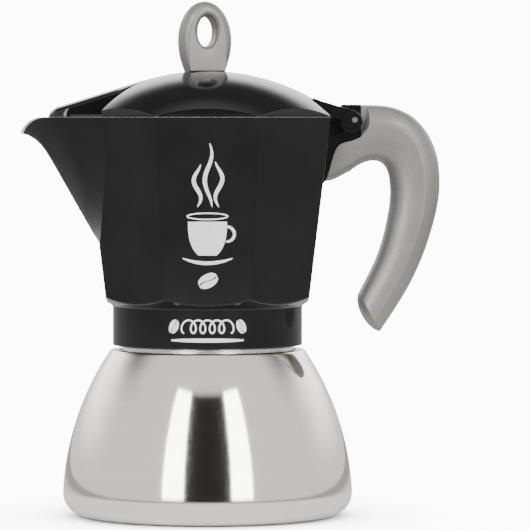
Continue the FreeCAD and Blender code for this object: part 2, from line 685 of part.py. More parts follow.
# ---------------------------------------------------------------- lid
def lid():
    body = new_body("lid")
    centre = "(dome_top - dome_bend)"
    plate = outline(new_sketch(body, "lid_plate", "XY", {"z": "lid_foot"}), octagon("lid_flat"))
    feature(body, "Pad", plate, Length="dome_top - lid_foot")
    apron = outline(new_sketch(body, "lid_apron", "XY", {"z": "lid_foot"}), (
        ("-spout_side_x", "spout_side_y - 1"), ("-lip_start", "apron_tip"),
        ("-lip_start", "-apron_tip"),
        ("-spout_side_x", "1 - spout_side_y")))
    far = "(lid_flat + 16)"
    turned(body, outline(new_sketch(body, "dome_over", "XZ"), (
        ("0", "dome_top"),
        (far, f"{centre} + sqrt(dome_bend * dome_bend - {far} * {far})", "dome_bend", -1),
        (far, "dome_top + 2"), ("0", "dome_top + 2"))), "Groove")
    feature(body, "Pad", apron, Length="apron_height")
    ridge = outline(new_sketch(body, "ridge_plan", "XY", {"z": "lid_foot"}), (
        ("-ridge_back", "-ridge_half"), ("-ridge_back", "ridge_half"), ("-ridge_end", "ridge_half"),
        ("-ridge_end - 5.66", "5.66", "ridge_half", 1), ("-ridge_end - 5.66", "-5.66", "ridge_half", 1),
        ("-ridge_end", "-ridge_half", "ridge_half", 1)))
    feature(body, "Pad", ridge, Length="dome_top - lid_foot - 2")
    slope = "((ridge_high - ridge_low) / (ridge_end + 6 - ridge_back))"
    both_ways(body, "Pocket", outline(new_sketch(body, "ridge_over", "XZ"), (
        ("-ridge_back + 1", f"ridge_high + {slope}"),
        ("-ridge_end - 10", f"ridge_low - 4 * {slope}"),
        ("-ridge_end - 10", "dome_top + 3"), ("-ridge_back + 1", "dome_top + 3"))), "18")
    inner, reach = "(dome_bend - lid_wall)", "lid_hollow"
    turned(body, outline(new_sketch(body, "dome_hollow", "XZ"), (
        ("0", "lid_foot - 1"), (reach, "lid_foot - 1"),
        (reach, f"{centre} + sqrt({inner} * {inner} - {reach} * {reach})"),
        ("0", f"{centre} + {inner}", inner, 1))), "Groove")
    both_ways(body, "Pocket", outline(new_sketch(body, "ridge_hollow", "XZ"), (
        ("-ridge_back", "lid_foot - 1"), ("-ridge_back", "ridge_high - 2.6"),
        ("-ridge_end - 4", f"ridge_low + 2 * {slope} - 2.4"), ("-ridge_end - 4", "lid_foot - 1"))),
        "2 * ridge_half - 4")
    both_ways(body, "Pad", outline(new_sketch(body, "knuckles", "XZ"), (
        ("arm_root_x", "lid_foot"), ("facet_high + 0.3", "lid_foot"),
        ("arm_under_x", "arm_under_z"), ("arm_heel_x", "arm_heel_z"),
        ("knuckle_x", "knuckle_z - knuckle_radius", "knuckle_radius", 1),
        ("knuckle_x + knuckle_radius", "knuckle_z", "knuckle_radius", 1),
        ("knuckle_x + 0.6", "knuckle_z + 4.1", "knuckle_radius", 1),
        ("arm_top_x", "arm_top_z"), ("arm_root_x", "arm_root_top"))), "2 * knuckle_outer")
    both_ways(body, "Pocket", outline(new_sketch(body, "knuckle_gap", "XZ"), (
        ("45", "136"), ("60", "136"), ("60", "152"), ("45", "152"))), "2 * knuckle_inner")
    pin = circle(new_sketch(body, "knuckle_bore", "XZ"), "pin_x", "pin_z", "pin_radius + 0.1")
    both_ways(body, "Pocket", pin, "4 * knuckle_outer")
    screw = circle(new_sketch(body, "knob_hole", "XY", {"z": "dome_top"}), "knob_x", "0",
                   "knob_screw + 0.1")
    both_ways(body, "Pocket", screw, "20")


def hinge_pin():
    item = doc.addObject("Part::Cylinder", "hinge_pin")
    item.Label = "hinge_pin"
    item.Placement = FreeCAD.Placement(VECTOR(), FreeCAD.Rotation(VECTOR(1, 0, 0), 90))
    item.setExpression("Radius", bound("pin_radius"))
    item.setExpression("Height", bound("2 * pin_half"))
    item.setExpression(".Placement.Base.x", bound("pin_x"))
    item.setExpression(".Placement.Base.y", bound("pin_half"))
    item.setExpression(".Placement.Base.z", bound("pin_z"))
    PARTS.append(item)


# ---------------------------------------------------------------- knob
def knob():
    body = new_body("knob")
    foot = "(knob_foot - knob_wide)"
    shoulder = on_circle(("(knob_radius - knob_side_bend)", "0"), "knob_side_bend", "knob_crown_angle")
    both_ways(body, "Pad", outline(new_sketch(body, "egg", "XZ"), (
        ("knob_foot_radius", foot), ("knob_radius", "0", "knob_lower_bend", 1),
        (*shoulder, "knob_side_bend", 1), (f"-({shoulder[0]})", shoulder[1], "knob_crown_bend", 1),
        ("-knob_radius", "0", "knob_side_bend", 1),
        ("-knob_foot_radius", foot, "knob_lower_bend", 1))), "2 * knob_half")
    rounded(body, "egg_rounding", "knob_round",
            ("knob_lower_bend", "knob_side_bend", "knob_crown_bend"))
    middle, tall = "(knob_eye_z - knob_wide)", "(knob_eye_tall - knob_eye_half)"
    eye = outline(new_sketch(body, "eye", "XZ"), (
        ("-knob_eye_half", f"{middle} - {tall}"),
        ("0", f"{middle} - knob_eye_tall", "knob_eye_half", 1),
        ("knob_eye_half", f"{middle} - {tall}", "knob_eye_half", 1),
        ("knob_eye_half", f"{middle} + {tall}"),
        ("0", f"{middle} + knob_eye_tall", "knob_eye_half", 1),
        ("-knob_eye_half", f"{middle} + {tall}", "knob_eye_half", 1)))
    both_ways(body, "Pocket", eye, "40")
    bore = circle(new_sketch(body, "knob_bore", "XY", {"z": foot}), "0", "0", "knob_screw + play")
    feature(body, "Pocket", bore, Length="5.5", Reversed=True)
    body.Placement = FreeCAD.Placement(VECTOR(), FreeCAD.Rotation(VECTOR(0, 0, 1), 10))
    body.setExpression(".Placement.Rotation.Angle", bound("knob_twist"))
    body.setExpression(".Placement.Base.x", bound("knob_x"))
    body.setExpression(".Placement.Base.z", bound("knob_wide"))


def knob_washer():
    body = new_body("knob_washer")
    seat = "(dome_top - lid_wall - 0.05)"
    turned(body, outline(new_sketch(body, "knob_washer_profile", "XZ"), (
        ("knob_screw + 0.1", f"{seat} - 0.8"), ("4.5", f"{seat} - 0.8"), ("4.5", f"{seat} - 0.2"),
        ("knob_screw + 0.1", f"{seat} - 0.05"))))
    body.setExpression(".Placement.Base.x", bound("knob_x"))


def knob_screw():
    body = new_body("knob_screw")
    seat = "(dome_top - lid_wall - 0.85)"
    turned(body, outline(new_sketch(body, "knob_screw_profile", "XZ"), (
        ("0", f"{seat} - 2"), ("2.2", f"{seat} - 2"), ("3", seat), ("knob_screw", seat),
        ("knob_screw", "knob_foot + 5"), ("0", "knob_foot + 5"))))
    slot = outline(new_sketch(body, "knob_screw_slot", "XZ"), (
        ("-0.4", f"{seat} - 3"), ("0.4", f"{seat} - 3"), ("0.4", f"{seat} - 1.2"),
        ("-0.4", f"{seat} - 1.2")))
    both_ways(body, "Pocket", slot, "10")
    body.setExpression(".Placement.Base.x", bound("knob_x"))


# ---------------------------------------------------------------- handle
def handle():
    body = new_body("handle")
    both_ways(body, "Pad", outline(new_sketch(body, "handle_profile", "XZ"), (
        (facet("root_z") + " + 0.1", "root_z"), ("cheek_low_x", "cheek_low_z"),
        ("cheek_side_x", "cheek_side_z"), ("cheek_high_x", "cheek_high_z"),
        ("cheek_end_x", "cheek_end_z"), ("lug_back + 0.1", "cheek_back_z"),
        ("lug_back + 0.1", "handle_top"),
        ("shoulder_x", "handle_top"), ("elbow_x", "elbow_z", "shoulder_bend", -1),
        ("tail_x", "tail_z", "back_bend", -1),
        ("tail_inner_x", "tail_inner_z", "tail_bend", -1),
        ("tail_inner_x + 0.4", "tail_inner_z + 3.3"),
        ("crook_x", "crook_z", "grip_bend", 1),
        ("crook_top_x", "crook_top_z", "crook_bend", 1),
        ("soffit_x", "soffit_z", "soffit_bend", 1),
        ("root_under_x", "root_under_z"))), "2 * handle_half")
    rounded(body, "grip_rounding", "grip_round", ("shoulder_bend", "back_bend"))
    slot = outline(new_sketch(body, "web_slot", "XZ"), (
        ("38", "rib_foot"), ("rib_front", "rib_foot"), ("rib_front", "web_foot"),
        ("lug_back + 0.1", "web_foot"), ("lug_back + 0.1", "150"), ("38", "150")))
    both_ways(body, "Pocket", slot, "2 * lug_half")
    for side, name in ((1, "notch_front"), (-1, "notch_back")):
        notch = circle(new_sketch(body, name, "XZ", {"z": f"{side} * (knuckle_inner + 10 - 0.15)"}),
                       "pin_x", "pin_z", "notch_radius")
        both_ways(body, "Pocket", notch, "20")
    seat = circle(new_sketch(body, "screw_recess", "XY", {"z": "handle_screw_seat"}),
                  "handle_screw_x", "0", "handle_screw_head + 0.2")
    feature(body, "Pocket", seat, Length="12")
    hole = circle(new_sketch(body, "screw_clearance", "XY", {"z": "handle_screw_seat"}),
                  "handle_screw_x", "0", "handle_screw_radius + 0.2")
    both_ways(body, "Pocket", hole, "7")


def handle_screw():
    body = new_body("handle_screw")
    turned(body, outline(new_sketch(body, "handle_screw_profile", "XZ"), (
        ("0", "handle_screw_seat - 1.8"), ("handle_screw_head - 1", "handle_screw_seat - 1.8"),
        ("handle_screw_head", "handle_screw_seat - 0.8"), ("handle_screw_head", "handle_screw_seat"),
        ("handle_screw_radius", "handle_screw_seat"), ("handle_screw_radius", "web_foot + 7.5"),
        ("0", "web_foot + 7.8"))))
    for angle, name in ((0, "drive_slot"), (90, "drive_cross")):
        slot = outline(new_sketch(body, name, "XZ" if angle == 0 else "YZ"), (
            ("-0.45", "handle_screw_seat - 3"), ("0.45", "handle_screw_seat - 3"),
            ("0.45", "handle_screw_seat - 1"), ("-0.45", "handle_screw_seat - 1")))
        both_ways(body, "Pocket", slot, "3.8")
    body.setExpression(".Placement.Base.x", bound("handle_screw_x"))


# ---------------------------------------------------------------- assembly
boiler_shell()
boiler_liner()
outer_form = bell_form("flank_form", "0")
inner_form = bell_form("liner_form", "(steel_wall + liner_wall)")
valve_ring("valve_washer", "-1", "valve_washer_height", "valve_washer_radius", outer_form, "Cut")
valve_ring("valve_seal", "nut_height + 0.5 - valve_shank", "-valve_seal_top", "valve_seal_radius",
           inner_form, "Common")
valve_body()
valve_cap()
valve_plunger()
valve_spring()
valve_nut()
funnel()
funnel_strainer()
gasket()
filter_plate()
collector()
lid()
hinge_pin()
knob()
knob_washer()
knob_screw()
handle()
handle_screw()
doc.recompute()

for item in doc.Objects:
    if {"Invalid", "Error"} & set(item.State):
        raise ValueError(f"{item.Name} failed: {item.State}")
for item in PARTS:
    if item.Shape.isNull() or not item.Shape.isValid():
        raise ValueError(f"{item.Label} has no valid shape")

os.makedirs("parts", exist_ok=True)
for item in PARTS:
    box = item.Shape.BoundBox
    print(f"{item.Label:16s} solids {len(item.Shape.Solids)} volume {item.Shape.Volume:10.1f}"
          f"  x {box.XMin:7.2f} {box.XMax:7.2f}  y {box.YMin:7.2f} {box.YMax:7.2f}"
          f"  z {box.ZMin:7.2f} {box.ZMax:7.2f}")
    item.Shape.exportStep(f"parts/{item.Label}.step")
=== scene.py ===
"""A stovetop coffee maker, built piece by piece round its engineering model."""

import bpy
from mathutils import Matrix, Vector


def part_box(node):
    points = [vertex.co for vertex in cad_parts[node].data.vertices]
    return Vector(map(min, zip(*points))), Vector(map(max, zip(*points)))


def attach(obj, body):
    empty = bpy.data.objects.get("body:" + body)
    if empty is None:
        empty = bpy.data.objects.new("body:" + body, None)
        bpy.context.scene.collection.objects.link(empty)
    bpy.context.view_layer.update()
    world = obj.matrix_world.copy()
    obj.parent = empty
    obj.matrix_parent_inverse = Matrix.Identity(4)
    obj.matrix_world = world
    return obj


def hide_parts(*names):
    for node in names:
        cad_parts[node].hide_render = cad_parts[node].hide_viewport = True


bl_info = {
    "name": "Moka Pot",
    "version": (1, 0, 0),
    "blender": (4, 5, 0),
    "location": "3D View > Sidebar > Moka Pot",
    "description": "Builds a stovetop coffee maker with its studio",
    "category": "Add Mesh",
}

import math

import bmesh
import bpy
from bpy.props import FloatProperty, FloatVectorProperty, IntProperty, PointerProperty
from mathutils import Matrix, Vector

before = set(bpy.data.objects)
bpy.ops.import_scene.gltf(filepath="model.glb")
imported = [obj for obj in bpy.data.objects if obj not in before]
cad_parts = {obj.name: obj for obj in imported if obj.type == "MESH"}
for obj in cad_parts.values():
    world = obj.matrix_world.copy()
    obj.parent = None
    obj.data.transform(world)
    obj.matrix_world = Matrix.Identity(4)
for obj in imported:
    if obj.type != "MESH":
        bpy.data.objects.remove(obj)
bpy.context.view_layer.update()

MM = 0.001
FACETS = 8
SECTOR = 2 * math.pi / FACETS
JUG_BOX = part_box("collector")
LID_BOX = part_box("lid")
KNOB_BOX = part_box("knob")
HANDLE_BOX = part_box("handle")


def length(name, description, default):
    """A size in metres for the panel."""
    return FloatProperty(name=name, description=description, default=default, unit="LENGTH",
                         subtype="DISTANCE", precision=4)


def colour(name, description, default):
    """A colour for the panel."""
    return FloatVectorProperty(name=name, description=description, default=default, size=3,
                               subtype="COLOR", min=0, max=1)


# ------------------------------------------------------------------ settings
class MokaBoilerSettings(bpy.types.PropertyGroup):
    """Sizes of the bell-shaped boiler."""
    foot: length("Foot Radius", "Radius of the flat it stands on", 44.2 * MM)
    corner: length("Corner Bend", "Bend between foot and flank", 8.3 * MM)
    flank: length("Flank Bend", "Bend of the bell's flank", 100 * MM)
    bead: length("Bead Bend", "Bend of the rolled top edge", 1.8 * MM)
    wall: length("Steel Thickness", "Thickness of the steel skin", 0.8 * MM)
    segments: IntProperty(name="Segments", description="Divisions round the axis", default=192, min=32)


class MokaJugSettings(bpy.types.PropertyGroup):
    """Sizes of the octagonal jug with its collar and spout."""
    rim: length("Rim Height", "Height of the jug's rim", 144.2 * MM)
    flat_rim: length("Half Width at Rim", "Half the distance across flats at the rim", 44.25 * MM)
    flat_foot: length("Half Width at Foot", "The same where the facets would reach the collar", 36.2 * MM)
    facet_foot: length("Facet Foot", "Height where the underside cone starts", 76.0 * MM)
    corner: length("Corner Bend", "Bend between two facets", 1.6 * MM)
    collar: length("Collar Radius", "Outer radius of the threaded collar", 34.35 * MM)
    collar_foot: length("Collar Foot", "Height of the collar's lower edge", JUG_BOX[0].z)
    wall: length("Wall", "Wall thickness of the casting", 2.5 * MM)
    spout_tip: length("Spout Tip", "How far the lip reaches from the axis", -JUG_BOX[0].x)
    spout_reach: length("Spout Reach", "Where the spout's sides would meet at the rim", 66.8 * MM)
    keel: length("Keel Bend", "Bend of the spout's keel", 3.4 * MM)
    keel_height: length("Keel Height", "Height where the keel leaves the facet", 97.5 * MM)


class MokaLidSettings(bpy.types.PropertyGroup):
    """Sizes of the domed lid."""
    flat: length("Half Width", "Half the distance across the lid's flats", LID_BOX[1].y)
    foot: length("Underside", "Height of the lid's lower edge", 144.19 * MM)
    top: length("Top", "Height of the dome's top", LID_BOX[1].z)
    dome: length("Dome Bend", "Radius of the dome", 77.5 * MM)
    wall: length("Wall", "Thickness of the lid", 2.3 * MM)
    ridge: length("Ridge Half Width", "Half the width of the ridge over the spout", 8.0 * MM)


class MokaGripSettings(bpy.types.PropertyGroup):
    """Sizes of the knob and the handle."""
    knob_x: length("Knob Place", "Where the knob stands along the spout's line", -1.0 * MM)
    knob_foot: length("Knob Foot", "Height of the knob's foot", KNOB_BOX[0].z - 1.0 * MM)
    knob_top: length("Knob Top", "Height of the knob's top", KNOB_BOX[1].z)
    knob_half: length("Knob Half Thickness", "Half the knob's thickness", 5.0 * MM)
    knob_twist: FloatProperty(name="Knob Twist", description="Turn of the knob on the lid",
                              default=math.radians(15), subtype="ANGLE", unit="ROTATION")
    handle_half: length("Handle Half Width", "Half the handle's width", HANDLE_BOX[1].y)


class MokaFinishSettings(bpy.types.PropertyGroup):
    """Colours of the finishes."""
    lacquer: colour("Black Lacquer", "Gloss lacquer on the castings", (0.0065, 0.0065, 0.007))
    steel: colour("Polished Steel", "Steel of the boiler", (0.80, 0.785, 0.765))
    aluminium: colour("Bare Aluminium", "Machined aluminium", (0.83, 0.83, 0.82))
    grip: colour("Soft Grey", "Satin plastic of the knob and handle", (0.228, 0.226, 0.216))
    silver: colour("Silver Print", "Ink of the pictures", (0.86, 0.86, 0.86))
    brass: colour("Brass", "Valve metal", (0.72, 0.55, 0.27))
    pins: colour("Pins and Screws", "Bright steel of the small parts", (0.82, 0.82, 0.83))
    silicone: colour("Silicone", "Gasket and washers", (0.78, 0.77, 0.72))
    floor: colour("Floor", "Studio floor", (0.92, 0.92, 0.92))


# ------------------------------------------------------------------ mesh helpers
def mesh_object(name, points, faces, body, materials, face_materials=None, sharp=40):
    """A closed mesh piece, smooth but for edges sharper than the angle given."""
    mesh = bpy.data.meshes.new(name)
    mesh.from_pydata([tuple(point) for point in points], [], faces)
    for material in materials:
        mesh.materials.append(material)
    if face_materials:
        mesh.polygons.foreach_set("material_index", face_materials)
    work = bmesh.new()
    work.from_mesh(mesh)
    bmesh.ops.remove_doubles(work, verts=work.verts, dist=2e-6)
    bmesh.ops.dissolve_degenerate(work, edges=work.edges, dist=1e-6)
    bmesh.ops.recalc_face_normals(work, faces=work.faces)
    work.to_mesh(mesh)
    work.free()
    piece = bpy.data.objects.new(name, mesh)
    bpy.context.scene.collection.objects.link(piece)
    smooth(piece, sharp)
    if body:
        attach(piece, body)
    return piece


def smooth(piece, sharp=40):
    """Shade a piece smooth but for its sharp edges."""
    piece.data.shade_smooth()
    piece.data.set_sharp_from_angle(angle=math.radians(sharp))


def bake_modifiers(piece):
    """Turn a piece's modifiers into its mesh."""
    evaluated = piece.evaluated_get(bpy.context.evaluated_depsgraph_get())
    mesh = bpy.data.meshes.new_from_object(evaluated)
    old = piece.data
    piece.modifiers.clear()
    piece.data = mesh
    mesh.name = piece.name
    bpy.data.meshes.remove(old)


def settle_normals(piece):
    """Let the large flats keep their shading right up to the rounded edges."""
    modifier = piece.modifiers.new("flats", "WEIGHTED_NORMAL")
    modifier.keep_sharp = True
    bake_modifiers(piece)


def combine(piece, tools, operation, sharp=40):
    """Add solids to a piece or cut them from it, then drop the tools."""
    for tool in tools:
        modifier = piece.modifiers.new(operation, "BOOLEAN")
        modifier.operation = operation
        modifier.solver = "EXACT"
        modifier.object = tool
        bake_modifiers(piece)
    for tool in tools:
        mesh = tool.data
        bpy.data.objects.remove(tool)
        bpy.data.meshes.remove(mesh)
    smooth(piece, sharp)


def bevel(piece, width, angle=30):
    """Round a piece's sharp edges."""
    modifier = piece.modifiers.new("edges", "BEVEL")
    modifier.width = width
    modifier.segments = 3
    modifier.limit_method = "ANGLE"
    modifier.angle_limit = math.radians(angle)
    modifier.harden_normals = True
    bake_modifiers(piece)


def skin(name, rings, body, materials, sharp=40, bands=None):
    """A closed skin over rings of equal length; the first and last ring are points or get a cap."""
    count = len(rings[0])
    points = [point for ring in rings for point in ring]
    faces, kinds = [], []
    for row in range(len(rings) - 1):
        for column in range(count):
            following = (column + 1) % count
            faces.append((row * count + column, row * count + following,
                          (row + 1) * count + following, (row + 1) * count + column))
            kinds.append(bands(row) if bands else 0)
    for row in (0, len(rings) - 1):
        ring = rings[row]
        if (Vector(ring[0]) - Vector(ring[count // 2])).length > 1e-5:
            faces.append(tuple(range(row * count, (row + 1) * count)))
            kinds.append(0)
    return mesh_object(name, points, faces, body, materials, kinds, sharp)


def lathe(name, profile, body, materials, segments, sharp=40):
    """A solid of revolution about the vertical, from an outline of (radius, height)."""
    turns = [2 * math.pi * index / segments for index in range(segments)]
    rings = [[(radius * math.cos(turn), radius * math.sin(turn), height) for turn in turns]
             for radius, height in profile]
    return skin(name, rings, body, materials, sharp)


def prism(name, outline, low, high, plane, materials, body=None, sharp=40, far_outline=None):
    """An outline pushed from low to high, across Y for plane XZ or up Z for plane XY.

    With a far outline of as many points, the sides run from one outline to the other.
    """
    def place(point, depth):
        return (point[0], depth, point[1]) if plane == "XZ" else (point[0], point[1], depth)
    count = len(outline)
    points = [place(point, low) for point in outline]
    points += [place(point, high) for point in far_outline or outline]
    faces = [tuple(range(count)), tuple(range(count, 2 * count))]
    for index in range(count):
        following = (index + 1) % count
        side = (index, following, count + following, count + index)
        faces += [side[:3], (side[0], side[2], side[3])] if far_outline else [side]
    return mesh_object(name, points, faces, body, materials, None, sharp)


def mm(*points):
    """The points of an outline, from millimetres to metres."""
    return [tuple(measure * MM for measure in point) for point in points]


def polar(centre, radius, degrees):
    """The point at an angle and a distance from a centre."""
    turn = math.radians(degrees)
    return centre[0] + radius * math.cos(turn), centre[1] + radius * math.sin(turn)


def arc(centre, radius, start, stop, steps):
    """Points on an arc, with its angles in degrees."""
    return [polar(centre, radius, start + (stop - start) * step / steps) for step in range(steps + 1)]


def rounded(points, radii, steps=4, closed=True):
    """A polygon with its corners rounded; every corner gives the same number of points."""
    result = []
    count = len(points)
    for index, (point, radius) in enumerate(zip(points, radii)):
        if not closed and index in (0, count - 1):
            result.append(tuple(point))
            continue
        here = Vector(point)
        back = Vector(points[index - 1]) - here
        ahead = Vector(points[(index + 1) % count]) - here
        bend = back.angle(ahead)
        if radius < 1e-7 or bend > math.pi - 1e-3:
            result.append(tuple(point))
            continue
        reach = min(radius / math.tan(bend / 2), 0.49 * back.length, 0.49 * ahead.length)
        start, stop = here + back.normalized() * reach, here + ahead.normalized() * reach
        for step in range(steps + 1):
            share = step / steps
            result.append(tuple(start * (1 - share) ** 2 + here * 2 * share * (1 - share)
                                + stop * share ** 2))
    return result


def spline(points, steps=6):
    """A smooth curve through the points."""
    vectors = [Vector(point) for point in points]
    ends = [2 * vectors[0] - vectors[1]] + vectors + [2 * vectors[-1] - vectors[-2]]
    result = []
    for index in range(1, len(ends) - 2):
        before, start, stop, after = ends[index - 1:index + 3]
        for step in range(steps):
            share = step / steps
            result.append(0.5 * (2 * start + (stop - before) * share
                                 + (2 * before - 5 * start + 4 * stop - after) * share ** 2
                                 + (3 * start - before - 3 * stop + after) * share ** 3))
    return result + [vectors[-1]]


def mix(first, second, share):
    """The value a share of the way from the first to the second."""
    return first + (second - first) * share


# ------------------------------------------------------------------ materials
NOISE_SPAN = (0.35, 0.65)
ROUND_SHARE = 0.0016


def add_node(tree, kind, **settings):
    """A shader node with its inputs or its own settings given by name."""
    node = tree.nodes.new("ShaderNode" + kind)
    for name, setting in settings.items():
        if name in node.inputs:
            node.inputs[name].default_value = setting
        else:
            setattr(node, name, setting)
    return node


def maths(tree, operation, first, second=None):
    """A maths node over numbers or other nodes' outputs."""
    node = add_node(tree, "Math", operation=operation)
    for index, entry in enumerate((first, second)):
        if isinstance(entry, (int, float)):
            node.inputs[index].default_value = entry
        elif entry is not None:
            tree.links.new(entry, node.inputs[index])
    return node.outputs[0]


def noise(tree, scale, detail, rings=False):
    """Noise over the object's own place; rings keeps it nearly the same all the way round the axis."""
    source = add_node(tree, "TexCoord").outputs["Object"]
    if rings:
        parts = add_node(tree, "SeparateXYZ")
        tree.links.new(source, parts.inputs[0])
        across, along, up = parts.outputs
        flat = add_node(tree, "CombineXYZ")
        tree.links.new(across, flat.inputs["X"])
        tree.links.new(along, flat.inputs["Y"])
        span = add_node(tree, "VectorMath", operation="LENGTH")
        tree.links.new(flat.outputs[0], span.inputs[0])
        turn = maths(tree, "MULTIPLY", maths(tree, "ARCTAN2", along, across), ROUND_SHARE)
        ring = add_node(tree, "CombineXYZ")
        for axis, measure in zip("XYZ", (span.outputs["Value"], up, turn)):
            tree.links.new(measure, ring.inputs[axis])
        source = ring.outputs[0]
    texture = add_node(tree, "TexNoise", Scale=scale, Detail=detail)
    tree.links.new(source, texture.inputs["Vector"])
    return texture.outputs["Fac"]


def ramp(tree, source, start, stop, low=0.0, high=1.0, kind="LINEAR"):
    """A value that runs from low to high as the source runs from start to stop."""
    node = add_node(tree, "MapRange", interpolation_type=kind)
    for name, setting in (("From Min", start), ("From Max", stop), ("To Min", low), ("To Max", high)):
        node.inputs[name].default_value = setting
    tree.links.new(source, node.inputs["Value"])
    return node.outputs[0]


def tint(tree, source, low, high, start, stop):
    """A colour that runs from low to high as the source runs from start to stop."""
    node = add_node(tree, "ValToRGB")
    for end, place, tone in zip(node.color_ramp.elements, (start, stop), (low, high)):
        end.position = place
        end.color = (*tone, 1)
    tree.links.new(source, node.inputs[0])
    return node.outputs[0]


def shade(base, factor):
    """A colour made darker or lighter."""
    return tuple(min(1.0, part * factor) for part in base)


def plain_material(name, base, metallic, roughness):
    """A new material of one colour, with its nodes."""
    material = bpy.data.materials.new(name)
    material.use_nodes = True
    shader = material.node_tree.nodes["Principled BSDF"]
    shader.inputs["Base Color"].default_value = (*base, 1)
    shader.inputs["Metallic"].default_value = metallic
    shader.inputs["Roughness"].default_value = roughness
    return material, material.node_tree, shader


def finish(name, base, metallic, roughness, tone, shine, relief, span=NOISE_SPAN):
    """A material, made once, whose colour, roughness and relief each follow a noise.

    Tone and shine are a noise and what it runs between; relief is a noise, its strength and its depth.
    """
    material = bpy.data.materials.get(name)
    if material:
        return material, None
    material, tree, shader = plain_material(name, base, metallic, roughness)
    pattern, low, high = tone
    tree.links.new(tint(tree, noise(tree, *pattern), shade(base, low), shade(base, high), *span),
                   shader.inputs["Base Color"])
    if shine:
        pattern, low, high = shine
        tree.links.new(ramp(tree, noise(tree, *pattern), *NOISE_SPAN, low, high),
                       shader.inputs["Roughness"])
    pattern, strength, depth = relief
    raised = add_node(tree, "Bump", Strength=strength, Distance=depth)
    tree.links.new(noise(tree, *pattern), raised.inputs["Height"])
    tree.links.new(raised.outputs[0], shader.inputs["Normal"])
    return material, shader


def black_lacquer():
    """Stoved gloss lacquer over a casting: deep black under a clear skin with a faint orange peel."""
    cloud = (60, 4)
    material, shader = finish("stoved_black", bpy.context.scene.moka_finish.lacquer, 0.0, 0.1,
                              (cloud, 0.85, 1.25), (cloud, 0.06, 0.1), ((700, 2), 0.02, 0.0001))
    if shader:
        shader.inputs["Specular IOR Level"].default_value = 0.38
    return material


def polished_steel():
    """Steel polished on a spindle: fine rings all round it."""
    fine, broad = (6000, 4, True), (300, 3, True)
    material, shader = finish("spun_steel", bpy.context.scene.moka_finish.steel, 1.0, 0.07,
                              (broad, 0.98, 1.02), (fine, 0.05, 0.1), (fine, 0.03, 0.000004))
    if shader:
        shader.inputs["Anisotropic"].default_value = 0.3
        tangent = add_node(material.node_tree, "Tangent", direction_type="RADIAL", axis="Z")
        material.node_tree.links.new(tangent.outputs[0], shader.inputs["Tangent"])
    return material


def bare_aluminium():
    """Turned aluminium with fine tool rings."""
    fine = (5000, 3, True)
    return finish("turned_aluminium", bpy.context.scene.moka_finish.aluminium, 1.0, 0.3,
                  (fine, 0.85, 1.06), (fine, 0.22, 0.36), (fine, 0.15, 0.00004))[0]


def soft_grey():
    """Satin plastic with a fine metallic fleck."""
    fleck = (2600, 2)
    return finish("satin_grey", bpy.context.scene.moka_finish.grip, 0.45, 0.4,
                  (fleck, 0.86, 1.16), ((120, 3), 0.36, 0.46), (fleck, 0.18, 0.00006), (0.3, 0.72))[0]


def worked_metal(name, base, roughness):
    """Plain metal with a fine grain."""
    grain = (1800, 4)
    return finish(name, base, 1.0, roughness, (grain, 0.82, 1.08),
                  (grain, roughness * 0.7, roughness * 1.3), (grain, 0.08, 0.00005))[0]


def valve_brass():
    """Turned brass of the safety valve."""
    return worked_metal("valve_brass", bpy.context.scene.moka_finish.brass, 0.24)


def bright_metal():
    """Bright steel of pins, screws and washers."""
    return worked_metal("bright_metal", bpy.context.scene.moka_finish.pins, 0.14)


def punched_sheet():
    """Punched aluminium sheet."""
    return worked_metal("punched_sheet", bpy.context.scene.moka_finish.aluminium, 0.32)


def silicone():
    """Matte silicone with a slight bloom."""
    material, shader = finish("milky_silicone", bpy.context.scene.moka_finish.silicone, 0.0, 0.6,
                              ((300, 4), 0.93, 1.04), None, ((1500, 2), 0.1, 0.00005))
    if shader:
        shader.inputs["Subsurface Weight"].default_value = 0.08
        shader.inputs["Subsurface Scale"].default_value = 0.002
    return material


def silver_print():
    """Silver-white screen ink, a little uneven."""
    grain = (1400, 3)
    return finish("screen_ink", bpy.context.scene.moka_finish.silver, 0.0, 0.5,
                  (grain, 0.9, 1.05), None, (grain, 0.05, 0.00003))[0]


# ------------------------------------------------------------------ boiler
FLANK_FOOT, FLANK_TOP, BEAD_END = 3, 34, 180
FINISHES = {bare_aluminium: ("boiler_liner", "funnel"),
            punched_sheet: ("funnel_strainer", "filter_plate"),
            valve_brass: ("valve_body", "valve_cap", "valve_nut"),
            bright_metal: ("valve_plunger", "valve_spring", "hinge_pin", "knob_washer", "knob_screw",
                           "handle_screw"),
            silicone: ("valve_washer", "valve_seal", "gasket")}


